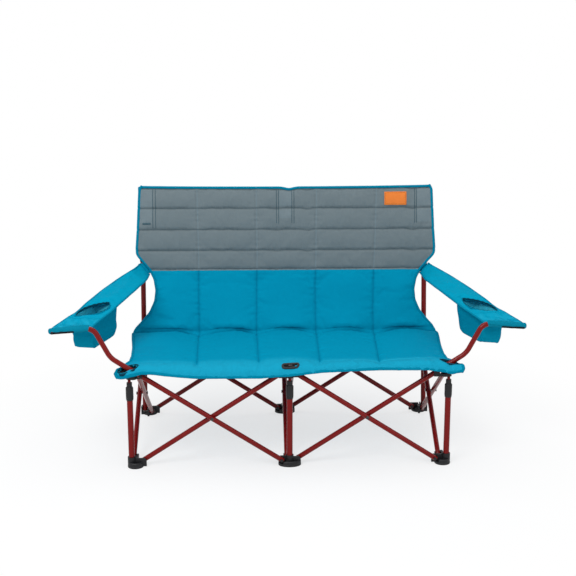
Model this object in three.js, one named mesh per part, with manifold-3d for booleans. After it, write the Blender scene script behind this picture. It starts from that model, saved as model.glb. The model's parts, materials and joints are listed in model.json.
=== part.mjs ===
// A folding camping loveseat: two seats wide, on a quad-fold frame of crossed tubes, with a quilted
// sling for the seat and the back, and a fabric armrest with a cup pouch on each side.
//
// Millimetres. +X runs along the width, +Y towards the back, +Z up. The origin is on the floor, under
// the middle of the open chair. The frame stands on six feet, in three columns and two rows. Above
// each foot is a hub, and crossed braces join every foot to its neighbours' hubs.

import * as THREE from "three";
import { mergeVertices } from "three/addons/utils/BufferGeometryUtils.js";
import Module from "manifold-3d";

const wasm = await Module();
wasm.setup();

// Frame: the grid of feet and hubs
const bayWidth = 490;
const pivotRun = 26;
const sidePivotRun = 33;
const footPivotHeight = 20;
const hubPivotHeight = 303;

// Braces, the crossed tubes of the frame
const braceDiameter = 16;
const braceWall = 1.2;
const braceGap = 1;
const braceEnd = 8;

// Pivot pins and the rivets where braces cross
const pinDiameter = 6;
const pinClearance = 0.6;
const headDiameter = 11;
const headThickness = 2.5;
const headGap = 0.4;
const seatingGap = 0.3;

// Lugs of the feet and hubs
const lugThickness = 7;
const lugGap = 0.3;
const lugMargin = 9;
const lugLift = 3;
const lugBevelShare = 0.45;

// Feet
const footRadius = 25;
const middleFootStretch = 1.44;
const footHeight = 8;
const footEdge = 3;
const footWallHeight = 18;
const footWallThickness = 4;

// Telescopic struts between each front foot and its hub
const strutOutboard = 12;
const strutDiameter = 19;
const strutWall = 1.6;
const socketWall = 3.5;
const socketHeight = 34;
const socketClearance = 0.4;
const wideCollarDiameter = 24;
const wideCollarFoot = 20.5;
const wideCollarHeight = 44;
const wideCollarGrip = 23;
const slideClearance = 0.6;
const middleTubeDiameter = 14.4;
const middleTubeWall = 1.5;
const middleTubeBottom = 26;
const narrowCollarDiameter = 17.5;
const narrowCollarHeight = 14;
const narrowCollarLid = 4;
const hubToCollarGap = 11;
const rodDiameter = 9.5;
const rodBottom = 40;

// Hubs
const hubRadius = 12;
const hubDrop = 12;
const hubTopDrop = 3;
const rodBossRadius = 9;
const rodSeatDrop = 6;
const armPassage = 20;
const seatPadHalfLength = 12;
const seatPadHalfWidth = 14;
const seatPadThickness = 7;
const middleStemRadius = 9;
const middleButtonHalfLength = 18;
const middleButtonHalfWidth = 7;
const middleButtonRise = 4;

// Back posts and the guides on the back hubs
const postOutboard = 18;
const postDiameter = 18;
const postWall = 1.4;
const postTilt = 8.4;
const postTopHeight = 812;
const postEnd = 9;
const cheekThickness = 4;
const cheekGap = 0.6;
const cheekHalfDepth = 12;
const cheekMargin = 9;
const guideDrop = 12;
const guideThickness = 12;
const guideWall = 4.5;
const guideClearance = 1.5;
const guideTravel = 11;

// Arm tubes: the two braces that rise past the corner hubs
const armRiseLength = 110;
const armUprightAngle = 62.5;
const armUprightLength = 108;
const armGripSlope = -4;
const armGripLength = 128;
const armLowBendRadius = 70;
const armHighBendRadius = 34;
const armBendSteps = 4;

// Quilted sling: one profile runs from the top of the back down to the front lip of the seat
const quiltThickness = 15;
const seamThickness = 5;
const hemThickness = 4;
const quiltMargin = 25;
const backTopRise = 6;
const greyPanelHeight = 300;
const pocketWall = 2.6;
const pocketDepth = 140;
const seatRise = 31;
const creaseDrop = 12;
const creaseAhead = 39;
const seatFoldAhead = 125;
const lipReach = 37;
const lipDrop = 34;
const sideSlotInside = 12;
const sideSlotOutside = 50;
const sideSlotHalfWidth = 19.5;
const middleSlotHalfLength = 25;
const middleSlotHalfWidth = 13;

// Armrests
const armrestThickness = 12;
const armrestAboveFold = 23;
const hemTubeWall = 3;
const hemTubeStart = 22;
const hemTubeEnd = 8;
const loopHeight = 36;
const cupHoleLength = 108;
const cupHoleWidth = 74;
const cupHoleAhead = 146;
const cupHoleInset = 131;
const cupHoleTurn = 22;

// Cup pouches
const pouchHalfWidth = 46;
const pouchHalfLength = 62;
const pouchCorner = 22;
const pouchWall = 3;
const pouchFloorHeight = 376;

// Facets and cuts
const tubeSides = 10;
const boreSides = 8;
const pinSides = 6;
const headSides = 8;
const overrun = 5;
const weldDistance = 0.002;

// Values worked out from the sizes above
const degrees = Math.PI / 180;
const braceRadius = braceDiameter / 2;
const braceRun = bayWidth - 2 * pivotRun;
const braceRise = hubPivotHeight - footPivotHeight;
const braceAngle = Math.atan2(braceRise, braceRun);
const frameDepth = braceRun + 2 * sidePivotRun;
const layerOffset = braceRadius + braceGap / 2;
const headFace = layerOffset + braceRadius + headGap;
const hubLow = hubPivotHeight - hubDrop;
const hubHigh = hubPivotHeight - hubTopDrop;
const narrowCollarTop = hubLow - hubToCollarGap;
const middleTubeTop = narrowCollarTop - narrowCollarLid;
const wideCollarTop = narrowCollarTop - narrowCollarHeight;
const wideCollarBottom = wideCollarTop - wideCollarHeight;
const strutTop = wideCollarBottom + wideCollarGrip;
const postRadius = postDiameter / 2;
const postSlope = Math.tan(postTilt * degrees);
const quiltHalfWidth = bayWidth + quiltMargin;
const backFoldHeight = postTopHeight + backTopRise - greyPanelHeight;
const armrestRearHeight = backFoldHeight + armrestAboveFold;
const seatFrontHeight = hubPivotHeight + seatRise;
const creaseHeight = seatFrontHeight - creaseDrop;
const creaseDepth = frameDepth - creaseAhead;
const seatFoldDepth = creaseDepth - seatFoldAhead;
const sideSlotInner = bayWidth - sideSlotInside;
const sideSlotOuter = bayWidth + sideSlotOutside;
const seatSlope = (seatFrontHeight - creaseHeight) / creaseDepth;
const seatPadEnd = armPassage + 2 * seatPadHalfLength;
const seatPadTop = seatFrontHeight - quiltThickness / 2 - seatingGap - seatPadEnd * seatSlope;

const red = new THREE.MeshStandardMaterial({ color: 0x8a3432, roughness: 0.45, metalness: 0.35 });
const black = new THREE.MeshStandardMaterial({ color: 0x232426, roughness: 0.6, metalness: 0 });
const steel = new THREE.MeshStandardMaterial({ color: 0x3a3a3c, roughness: 0.4, metalness: 0.8 });
const teal = new THREE.MeshStandardMaterial({ color: 0x0091b4, roughness: 0.85, metalness: 0 });
const grey = new THREE.MeshStandardMaterial({ color: 0x6c787d, roughness: 0.85, metalness: 0 });
const darkTeal = new THREE.MeshStandardMaterial({ color: 0x0a7f9c, roughness: 0.85, metalness: 0 });

const at = (x, y, z) => new THREE.Vector3(x, y, z);
const alongX = at(1, 0, 0);
const alongY = at(0, 1, 0);
const alongZ = at(0, 0, 1);

// Solids: a closed geometry becomes a manifold for joining and cutting, and comes back as a geometry.

function signedVolume(points, index) {
  const [a, b, c] = [at(0, 0, 0), at(0, 0, 0), at(0, 0, 0)];
  let total = 0;
  for (let i = 0; i < index.length; i += 3) {
    a.fromArray(points, 3 * index[i]);
    b.fromArray(points, 3 * index[i + 1]);
    c.fromArray(points, 3 * index[i + 2]);
    total += a.dot(b.cross(c));
  }
  return total;
}

function solidOf(geometry) {
  const bare = geometry.clone();
  bare.deleteAttribute("normal");
  bare.deleteAttribute("uv");
  const merged = mergeVertices(bare, weldDistance);
  const vertProperties = merged.attributes.position.array;
  const triVerts = new Uint32Array(merged.index.array);
  if (signedVolume(vertProperties, triVerts) < 0) triVerts.reverse();
  return new wasm.Manifold(new wasm.Mesh({ numProp: 3, vertProperties, triVerts }));
}

function geometryOf(solid) {
  const mesh = solid.getMesh();
  const geometry = new THREE.BufferGeometry();
  geometry.setAttribute("position", new THREE.BufferAttribute(mesh.vertProperties, 3));
  geometry.setIndex(new THREE.BufferAttribute(mesh.triVerts, 1));
  return geometry;
}

const join = (...solids) => solids.reduce((sum, next) => sum.add(next));
const cut = (solid, ...tools) => tools.reduce((rest, tool) => rest.subtract(tool), solid);

// Lays a geometry that runs along +Z from its origin on the line that starts at a point.
function laid(geometry, start, direction) {
  const turn = new THREE.Quaternion().setFromUnitVectors(alongZ, direction.clone().normalize());
  return geometry.applyQuaternion(turn).translate(start.x, start.y, start.z);
}

function polygon(radius, sides) {
  const points = [];
  for (let i = 0; i < sides; i += 1) {
    const angle = ((i + 0.5) / sides) * 2 * Math.PI;
    points.push(new THREE.Vector2(radius * Math.cos(angle), radius * Math.sin(angle)));
  }
  return points;
}

// The cross-section of a tube, with its bore, or of a plain bar when the wall is zero.
function tubeSection(radius, wall) {
  const section = new THREE.Shape(polygon(radius, tubeSides));
  if (wall > 0) section.holes.push(new THREE.Path(polygon(radius - wall, boreSides)));
  return section;
}

function rectangle([x0, y0], [x1, y1]) {
  return new THREE.Shape([[x0, y0], [x1, y0], [x1, y1], [x0, y1]].map(([x, y]) => new THREE.Vector2(x, y)));
}

function prism(section, depth) {
  return new THREE.ExtrudeGeometry(section, { depth, steps: 1, bevelEnabled: false });
}

function bar(from, to, radius, sides) {
  const section = new THREE.Shape(polygon(radius, sides));
  const run = to.clone().sub(from);
  return solidOf(laid(prism(section, run.length()), from, run));
}

function tube(from, to, radius, wall) {
  const run = to.clone().sub(from);
  return solidOf(laid(prism(tubeSection(radius, wall), run.length()), from, run));
}

function box(low, high) {
  const size = high.clone().sub(low);
  const centre = low.clone().add(high).multiplyScalar(0.5);
  const geometry = new THREE.BoxGeometry(Math.abs(size.x), Math.abs(size.y), Math.abs(size.z));
  return solidOf(geometry.translate(centre.x, centre.y, centre.z));
}

// A flat outline in plan, from one height to another.
function slab(points, low, high) {
  const section = new THREE.Shape(points.map(([x, y]) => new THREE.Vector2(x, y)));
  return solidOf(prism(section, high - low).translate(0, 0, low));
}

// The outline of a slot with round ends, centred on a point and turned in plan.
function slotOutline(x, y, halfLength, halfWidth, turn) {
  const points = [];
  const steps = headSides;
  for (let i = 0; i < 2 * steps; i += 1) {
    const side = i < steps ? 1 : -1;
    const angle = (Math.floor(i / steps) + (i % steps) / (steps - 1) - 0.5) * Math.PI;
    const along = side * (halfLength - halfWidth) + halfWidth * Math.cos(angle);
    const across = halfWidth * Math.sin(angle);
    points.push([
      x + along * Math.cos(turn) - across * Math.sin(turn),
      y + along * Math.sin(turn) + across * Math.cos(turn),
    ]);
  }
  return points;
}

// A closed skin through rings of points, with a flat fan over each end.
function loft(rings) {
  const count = rings[0].length;
  const points = rings.flat();
  const index = [];
  for (let r = 0; r + 1 < rings.length; r += 1) {
    for (let i = 0; i < count; i += 1) {
      const [a, b] = [r * count + i, r * count + ((i + 1) % count)];
      index.push(a, b, b + count, a, b + count, a + count);
    }
  }
  const capped = [rings[0], rings[rings.length - 1]];
  capped.forEach((ring, end) => {
    const middle = ring.reduce((sum, p) => sum.add(p), at(0, 0, 0)).divideScalar(count);
    const first = end === 0 ? 0 : (rings.length - 1) * count;
    points.push(middle);
    for (let i = 0; i < count; i += 1) {
      const pair = [first + i, first + ((i + 1) % count)];
      index.push(points.length - 1, ...(end === 0 ? pair.reverse() : pair));
    }
  });
  const geometry = new THREE.BufferGeometry().setFromPoints(points);
  geometry.setIndex(index);
  return geometry;
}

// A bent tube follows stations along its centre line: a straight run has one station at each end,
// and a bend has one for each of its steps.
class StationPath extends THREE.Curve {
  constructor(stations) {
    super();
    this.stations = stations;
  }

  getPointAt(share) {
    return this.stations[Math.round(share * (this.stations.length - 1))].clone();
  }

  getTangentAt(share) {
    const last = this.stations.length - 1;
    const i = Math.round(share * last);
    const before = this.stations[Math.max(i - 1, 0)];
    const here = this.stations[i];
    const after = this.stations[Math.min(i + 1, last)];
    const ways = [here.clone().sub(before), after.clone().sub(here)];
    return ways.reduce((sum, way) => sum.add(way.normalize()), at(0, 0, 0)).normalize();
  }
}

// Rounds each inner corner of a polyline with an arc of the given radius.
function rounded(corners, radii) {
  const stations = [corners[0]];
  radii.forEach((radius, n) => {
    const [before, corner, after] = [corners[n], corners[n + 1], corners[n + 2]];
    const back = before.clone().sub(corner).normalize();
    const ahead = after.clone().sub(corner).normalize();
    const half = back.angleTo(ahead) / 2;
    const centre = back.clone().add(ahead).normalize().multiplyScalar(radius / Math.sin(half)).add(corner);
    const start = back.clone().multiplyScalar(radius / Math.tan(half)).add(corner).sub(centre);
    const normal = start.clone().cross(ahead).normalize();
    for (let i = 0; i <= armBendSteps; i += 1) {
      const angle = (i / armBendSteps) * (Math.PI - 2 * half);
      stations.push(start.clone().applyAxisAngle(normal, angle).add(centre));
    }
  });
  stations.push(corners[corners.length - 1]);
  return stations;
}

function bentTube(stations, radius, wall) {
  const extrudePath = new StationPath(stations);
  const options = { extrudePath, steps: stations.length - 1, bevelEnabled: false };
  return solidOf(new THREE.ExtrudeGeometry(tubeSection(radius, wall), options));
}

// Columns run left, middle, right, and rows front, back. A foot or hub is placed by both.
const columns = [
  { name: "left", x: -bayWidth, side: -1 },
  { name: "middle", x: 0, side: 0 },
  { name: "right", x: bayWidth, side: 1 },
];
const rows = [
  { name: "front", y: 0, inward: 1 },
  { name: "back", y: frameDepth, inward: -1 },
];

// Every crossing has two layers. Seen from the front, the brace that falls to the right lies nearer
// the viewer. Seen from the left, the brace that falls to the back lies further in.
const footLayer = (way) => way;
const hubLayer = (way) => -way;
const footSideLayer = (way) => -way;
const hubSideLayer = (way) => way;

const root = new THREE.Group();

function add(name, solid, material) {
  const mesh = new THREE.Mesh(geometryOf(solid), material);
  mesh.name = name;
  root.add(mesh);
}

// A pin hole through a brace or post, at a point, along an axis.
function pinHole(point, axis) {
  const reach = headFace + overrun;
  const from = point.clone().addScaledVector(axis, -reach);
  const to = point.clone().addScaledVector(axis, reach);
  return bar(from, to, pinDiameter / 2 + pinClearance, pinSides);
}

// A pivot on a lug: the lug's outline stands beside the brace, and its headed pin goes through it.
// The outline is drawn outwards from the column, and low and high are its heights.
function lug({ column, outwards, across, layer, run, start, pivotHeight, low, shoulder, shoulderRun }) {
  const high = pivotHeight + lugMargin;
  const bevel = lugMargin * lugBevelShare;
  const outline = [
    [start, low],
    [run + lugMargin, low],
    [run + lugMargin, pivotHeight + bevel],
    [run + bevel, high],
    [shoulderRun, high],
    [shoulderRun, shoulder],
    [start, shoulder],
  ];
  const section = new THREE.Shape(outline.map(([u, z]) => new THREE.Vector2(u, z)));
  const plate = prism(section, lugThickness);
  const basis = new THREE.Matrix4().makeBasis(outwards, alongZ, across);
  const near = layer * lugGap;
  const far = near - layer * lugThickness;
  const offset = across.clone().multiplyScalar(Math.min(near, far));
  plate.applyMatrix4(basis.setPosition(column.clone().add(offset)));
  const pivot = column.clone().addScaledVector(outwards, run).setZ(pivotHeight);
  const inPlate = pivot.clone().addScaledVector(across, far / 2);
  const headIn = pivot.clone().addScaledVector(across, layer * headFace);
  const headOut = headIn.clone().addScaledVector(across, layer * headThickness);
  const pin = bar(inPlate, headOut, pinDiameter / 2, pinSides);
  const head = bar(headIn, headOut, headDiameter / 2, headSides);
  return join(solidOf(plate), pin, head);
}

// Lugs for the braces of the front or back plane, towards each neighbouring column.
function planeLugs(column, row, layerOf, heights) {
  return [-1, 1]
    .filter((way) => way !== column.side)
    .map((way) =>
      lug({
        column: at(column.x, row.y, 0),
        outwards: at(way, 0, 0),
        across: alongY,
        layer: layerOf(way),
        run: pivotRun,
        ...heights,
      }),
    );
}

// The lug for the brace of the side plane, towards the other row.
function sideLug(column, row, layerOf, heights) {
  return lug({
    column: at(column.x, row.y, 0),
    outwards: at(0, row.inward, 0),
    across: alongX,
    layer: layerOf(row.inward),
    run: sidePivotRun,
    ...heights,
  });
}

const strutX = (column) => column.x + column.side * strutOutboard;
const postX = (column) => column.x + column.side * postOutboard;
const postY = (height) => frameDepth + (height - footPivotHeight) * postSlope;
const strutRadius = strutDiameter / 2;
const socketRadius = strutRadius + socketWall;

function footBase(column, row) {
  const stretch = column.side === 0 ? middleFootStretch : 1;
  const profile = [
    [0, 0],
    [footRadius - footEdge / 2, 0],
    [footRadius, footEdge / 2],
    [footRadius, footHeight - footEdge],
    [footRadius - footEdge, footHeight],
    [0, footHeight],
  ];
  const points = profile.map(([r, z]) => new THREE.Vector2(r, z));
  const disc = new THREE.LatheGeometry(points, 2 * headSides).rotateX(Math.PI / 2).scale(stretch, 1, 1);
  return solidOf(disc.translate(column.x, row.y, 0));
}

// A low wall stands on the foot's edge. It is open where each brace leaves its lug, on the side where
// the brace and the head of its pin lie.
function footWall(column, row) {
  const stretch = column.side === 0 ? middleFootStretch : 1;
  const inner = footRadius - footWallThickness;
  const profile = [
    [inner, footEdge],
    [footRadius, footEdge],
    [footRadius, footWallHeight - footEdge],
    [footRadius - footEdge, footWallHeight],
    [inner, footWallHeight],
    [inner, footEdge],
  ];
  const points = profile.map(([r, z]) => new THREE.Vector2(r, z));
  const ring = new THREE.LatheGeometry(points, 2 * headSides).rotateX(Math.PI / 2).scale(stretch, 1, 1);
  const reach = footRadius * middleFootStretch + overrun;
  const side = headFace + headThickness + headGap;
  const lanes = [-1, 1]
    .filter((way) => way !== column.side)
    .map((way) =>
      box(
        at(column.x, row.y, footHeight),
        at(column.x + way * reach, row.y + footLayer(way) * side, footWallHeight + overrun),
      ),
    );
  const sideLane = box(
    at(column.x, row.y, footHeight),
    at(column.x + footSideLayer(row.inward) * side, row.y + row.inward * reach, footWallHeight + overrun),
  );
  return cut(solidOf(ring.translate(column.x, row.y, 0)), ...lanes, sideLane);
}

function frontFoot(column, row) {
  const x = strutX(column);
  const heights = {
    start: 0,
    pivotHeight: footPivotHeight,
    low: lugLift,
    shoulder: footPivotHeight + lugMargin,
    shoulderRun: pivotRun / 2,
  };
  const socket = bar(at(x, row.y, 0), at(x, row.y, socketHeight), socketRadius, tubeSides);
  const bore = bar(
    at(x, row.y, footHeight),
    at(x, row.y, socketHeight + overrun),
    strutRadius + socketClearance,
    tubeSides,
  );
  const lugs = [...planeLugs(column, row, footLayer, heights), sideLug(column, row, footSideLayer, heights)];
  return cut(join(footBase(column, row), footWall(column, row), socket, ...lugs), bore);
}

function backFoot(column, row) {
  const x = postX(column);
  const clear = postRadius + cheekGap;
  const heights = {
    pivotHeight: footPivotHeight,
    low: lugLift,
    shoulder: footPivotHeight + lugMargin,
    shoulderRun: pivotRun / 2,
  };
  const planeHeights = { ...heights, start: column.side === 0 ? clear : 0 };
  const sideHeights = { ...heights, start: cheekHalfDepth };
  const lugs = [
    ...planeLugs(column, row, footLayer, planeHeights),
    sideLug(column, row, footSideLayer, sideHeights),
  ];
  const top = footPivotHeight + cheekMargin;
  const cheeks = [-1, 1].map((way) =>
    box(
      at(x + way * clear, row.y - cheekHalfDepth, 0),
      at(x + way * (clear + cheekThickness), row.y + cheekHalfDepth, top),
    ),
  );
  const reach = clear + cheekThickness;
  const shoe = box(at(x - reach, row.y - cheekHalfDepth, 0), at(x + reach, row.y + cheekHalfDepth, footHeight));
  const pin = bar(
    at(x - reach, row.y, footPivotHeight),
    at(x + reach, row.y, footPivotHeight),
    pinDiameter / 2,
    pinSides,
  );
  const clearance = box(
    at(x - clear, row.y - 2 * cheekHalfDepth, footHeight),
    at(x + clear, row.y + 2 * cheekHalfDepth, footWallHeight + overrun),
  );
  return join(footBase(column, row), cut(footWall(column, row), clearance), shoe, ...cheeks, pin, ...lugs);
}

function hubBody(column, row) {
  const boss = bar(at(column.x, row.y, hubLow), at(column.x, row.y, hubHigh), hubRadius, tubeSides);
  const heights = {
    start: 0,
    pivotHeight: hubPivotHeight,
    low: hubLow,
    shoulder: hubHigh,
  };
  const planeHeights = { ...heights, shoulderRun: pivotRun - lugMargin };
  const sideHeights = { ...heights, shoulderRun: armPassage };
  return join(
    boss,
    ...planeLugs(column, row, hubLayer, planeHeights),
    sideLug(column, row, hubSideLayer, sideHeights),
  );
}

function frontHub(column, row) {
  const x = strutX(column);
  const layer = hubSideLayer(row.inward);
  const boss = bar(at(x, row.y, hubLow), at(x, row.y, hubHigh), rodBossRadius, tubeSides);
  const top = seatPadTop;
  const neck = box(
    at(column.x + layer * (lugGap - lugThickness), row.y + armPassage, hubPivotHeight),
    at(column.x + layer * lugGap, row.y + sidePivotRun, top),
  );
  const pad = box(
    at(column.x - seatPadHalfWidth, row.y + armPassage, top - seatPadThickness),
    at(column.x + seatPadHalfWidth, row.y + seatPadEnd, top),
  );
  const bore = bar(
    at(x, row.y, hubLow - overrun),
    at(x, row.y, hubPivotHeight - rodSeatDrop + seatingGap),
    rodDiameter / 2 + socketClearance,
    tubeSides,
  );
  const body = join(hubBody(column, row), boss, neck, pad);
  if (column.side !== 0) return cut(body, bore);
  const stem = bar(at(x, row.y, hubLow), at(x, row.y, top), middleStemRadius, tubeSides);
  const button = slab(
    slotOutline(x, row.y, middleButtonHalfLength, middleButtonHalfWidth, 0),
    top - seatPadThickness,
    top + middleButtonRise,
  );
  const bridge = box(
    at(x - middleButtonHalfWidth, row.y, top - seatPadThickness),
    at(x + middleButtonHalfWidth, row.y + armPassage + seatPadHalfLength, top),
  );
  return cut(join(body, stem, button, bridge), bore);
}

function backHub(column, row) {
  const x = postX(column);
  const middleHeight = hubPivotHeight - guideDrop;
  const y = postY(middleHeight);
  const half = postRadius + guideClearance + guideWall;
  const near = y - half;
  const far = y + half + guideTravel;
  const low = middleHeight - guideThickness / 2;
  const high = middleHeight + guideThickness / 2;
  const plate = slab(
    [
      [column.x - hubRadius, row.y],
      [column.x + hubRadius, row.y],
      [x + half, near],
      [x + half, far - guideWall],
      [x + half - guideWall, far],
      [x - half + guideWall, far],
      [x - half, far - guideWall],
      [x - half, near],
    ],
    low,
    high,
  );
  const hole = slab(
    slotOutline(
      x,
      y + guideTravel / 2,
      postRadius + guideClearance + guideTravel / 2,
      postRadius + guideClearance,
      Math.PI / 2,
    ),
    low - overrun,
    high + overrun,
  );
  return cut(join(hubBody(column, row), plate), hole);
}

// Braces. The plane braces of one bay cross in the front or back plane, and the side braces of one
// column cross between the rows. The first of each pair rises from the foot that comes first.
function brace(low, high, axis, layer) {
  const shift = axis.clone().multiplyScalar(layer * layerOffset);
  const way = high.clone().sub(low).normalize();
  const ends = [
    low.clone().addScaledVector(way, -braceEnd).add(shift),
    high.clone().addScaledVector(way, braceEnd).add(shift),
  ];
  const middle = low.clone().add(high).multiplyScalar(0.5);
  const body = tube(...ends, braceRadius, braceWall);
  return cut(body, ...[low, middle, high].map((point) => pinHole(point, axis)));
}

// The arm brace of one side: from the middle front foot, past its corner hub, up to the armrest.
function armPath(side) {
  const low = at(side * pivotRun, footLayer(side) * layerOffset, footPivotHeight);
  const turned = (angle) => at(side * Math.cos(angle), 0, Math.sin(angle));
  const along = turned(braceAngle);
  const hub = low.clone().addScaledVector(along, Math.hypot(braceRun, braceRise));
  const first = hub.clone().addScaledVector(along, armRiseLength);
  const second = first.clone().addScaledVector(turned(armUprightAngle * degrees), armUprightLength);
  const end = second.clone().addScaledVector(turned(armGripSlope * degrees), armGripLength);
  const start = low.clone().addScaledVector(along, -braceEnd);
  return {
    stations: rounded([start, first, second, end], [armLowBendRadius, armHighBendRadius]),
    low,
    hub,
    second,
    end,
  };
}

function armBrace(side) {
  const { stations, low, hub } = armPath(side);
  const middle = low.clone().add(hub).multiplyScalar(0.5);
  const holes = [low, middle, hub].map((point) => pinHole(point.clone().setY(0), alongY));
  return cut(bentTube(stations, braceRadius, braceWall), ...holes);
}

// A rivet where two braces cross: a pin with a head outside each of them.
function rivet(point, axis) {
  const face = (way) => point.clone().addScaledVector(axis, way * headFace);
  const outer = (way) => point.clone().addScaledVector(axis, way * (headFace + headThickness));
  return join(
    bar(outer(-1), outer(1), pinDiameter / 2, pinSides),
    bar(outer(-1), face(-1), headDiameter / 2, headSides),
    bar(face(1), outer(1), headDiameter / 2, headSides),
  );
}

const footPivot = (x, y) => at(x, y, footPivotHeight);
const hubPivot = (x, y) => at(x, y, hubPivotHeight);

function addPlaneBraces(row) {
  [-1, 1].forEach((side) => {
    const bay = side < 0 ? "left" : "right";
    const left = side < 0 ? -bayWidth : 0;
    const [near, far] = [left + pivotRun, left + bayWidth - pivotRun];
    const rising = brace(footPivot(near, row.y), hubPivot(far, row.y), alongY, footLayer(1));
    const falling = brace(footPivot(far, row.y), hubPivot(near, row.y), alongY, footLayer(-1));
    const middle = footPivot(near, row.y).add(hubPivot(far, row.y)).multiplyScalar(0.5);
    const front = row.name === "front";
    if (!(front && side > 0)) add(`${row.name}_${bay}_brace_rising`, rising, red);
    if (!(front && side < 0)) add(`${row.name}_${bay}_brace_falling`, falling, red);
    add(`${row.name}_${bay}_brace_rivet`, rivet(middle, alongY), steel);
  });
}

function addSideBraces(column) {
  const [near, far] = [sidePivotRun, frameDepth - sidePivotRun];
  const backwards = brace(footPivot(column.x, near), hubPivot(column.x, far), alongX, footSideLayer(1));
  const forwards = brace(footPivot(column.x, far), hubPivot(column.x, near), alongX, footSideLayer(-1));
  const middle = footPivot(column.x, near).add(hubPivot(column.x, far)).multiplyScalar(0.5);
  add(`${column.name}_side_brace_front_foot`, backwards, red);
  add(`${column.name}_side_brace_back_foot`, forwards, red);
  add(`${column.name}_side_brace_rivet`, rivet(middle, alongX), steel);
}

// A telescopic strut: the tube in the foot, its collar, the middle tube with its own collar, and
// the rod that hangs from the hub.
function addStrut(column, row) {
  const x = strutX(column);
  const up = (height) => at(x, row.y, height);
  const name = `${column.name}_strut`;
  add(`${name}_tube`, tube(up(footHeight + seatingGap), up(strutTop), strutRadius, strutWall), red);

  const middleRadius = middleTubeDiameter / 2;
  const collar = solidOf(
    new THREE.LatheGeometry(
      [
        [0, wideCollarBottom],
        [wideCollarFoot / 2 + socketClearance + headGap, wideCollarBottom],
        [wideCollarDiameter / 2, wideCollarBottom + wideCollarDiameter / 3],
        [wideCollarDiameter / 2, wideCollarTop - wideCollarDiameter / 8],
        [wideCollarDiameter / 2 - wideCollarDiameter / 12, wideCollarTop],
        [0, wideCollarTop],
      ].map(([r, z]) => new THREE.Vector2(r, z)),
      tubeSides,
    )
      .rotateX(Math.PI / 2)
      .rotateZ(Math.PI / tubeSides)
      .translate(x, row.y, 0),
  );
  add(
    `${name}_wide_collar`,
    cut(
      collar,
      bar(up(wideCollarBottom - overrun), up(strutTop + seatingGap), strutRadius + socketClearance, tubeSides),
      bar(up(wideCollarBottom), up(wideCollarTop + overrun), middleRadius + slideClearance, tubeSides),
    ),
    black,
  );

  add(`${name}_middle_tube`, tube(up(middleTubeBottom), up(middleTubeTop), middleRadius, middleTubeWall), red);
  const stop = bar(up(wideCollarTop + seatingGap), up(narrowCollarTop), narrowCollarDiameter / 2, tubeSides);
  add(
    `${name}_narrow_collar`,
    cut(
      stop,
      bar(up(wideCollarTop), up(middleTubeTop + seatingGap), middleRadius + socketClearance, tubeSides),
      bar(up(middleTubeTop), up(narrowCollarTop + overrun), rodDiameter / 2 + slideClearance, tubeSides),
    ),
    black,
  );
  add(`${name}_rod`, bar(up(rodBottom), up(hubPivotHeight - rodSeatDrop), rodDiameter / 2, tubeSides), red);
}

function addPost(column) {
  const x = postX(column);
  const pivot = at(x, frameDepth, footPivotHeight);
  const top = at(x, postY(postTopHeight), postTopHeight);
  const way = top.clone().sub(pivot).normalize();
  const foot = pivot.clone().addScaledVector(way, -postEnd);
  const body = tube(foot, top, postRadius, postWall);
  add(`${column.name}_back_post`, cut(body, pinHole(pivot, alongX)), red);
}

// Quilting. Stations across the sling fall on its seams and inside its cells, and the padding swells
// between the seams.
const columnShares = [0, 0.16, 0.5, 0.84];
const columnCrownShares = [0, 0.78, 1, 0.78];
const rowShares = [0, 0.25, 0.75];
const rowCrownShares = [0, 0.9, 0.9];
const endCrownShare = 0.35;
const quiltColumns = 5;
const backRows = 4;
const lowerBackSteps = 9;
const seatSteps = 10;
const outerSeamShare = 1 - 2 / quiltColumns;

function quiltStations(cells, shares, crowns) {
  const stations = [];
  for (let cell = 0; cell < cells; cell += 1) {
    shares.forEach((share, n) => stations.push({ at: (cell + share) / cells, crown: crowns[n] }));
  }
  stations.push({ at: 1, crown: 0 });
  return stations;
}

function plainStations(steps) {
  const crownAt = (n) => (n === 0 || n === steps ? endCrownShare : 1);
  return Array.from({ length: steps + 1 }, (_, n) => ({ at: n / steps, crown: crownAt(n) }));
}

// Widths: the seams run straight, and only the outer cells follow the sling's outline.
function acrossAt(share, edge) {
  const way = 2 * share - 1;
  const inner = outerSeamShare * quiltHalfWidth;
  const size = Math.abs(way);
  if (size <= outerSeamShare) return way * quiltHalfWidth;
  return Math.sign(way) * (inner + ((size - outerSeamShare) / (1 - outerSeamShare)) * (edge - inner));
}

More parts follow.
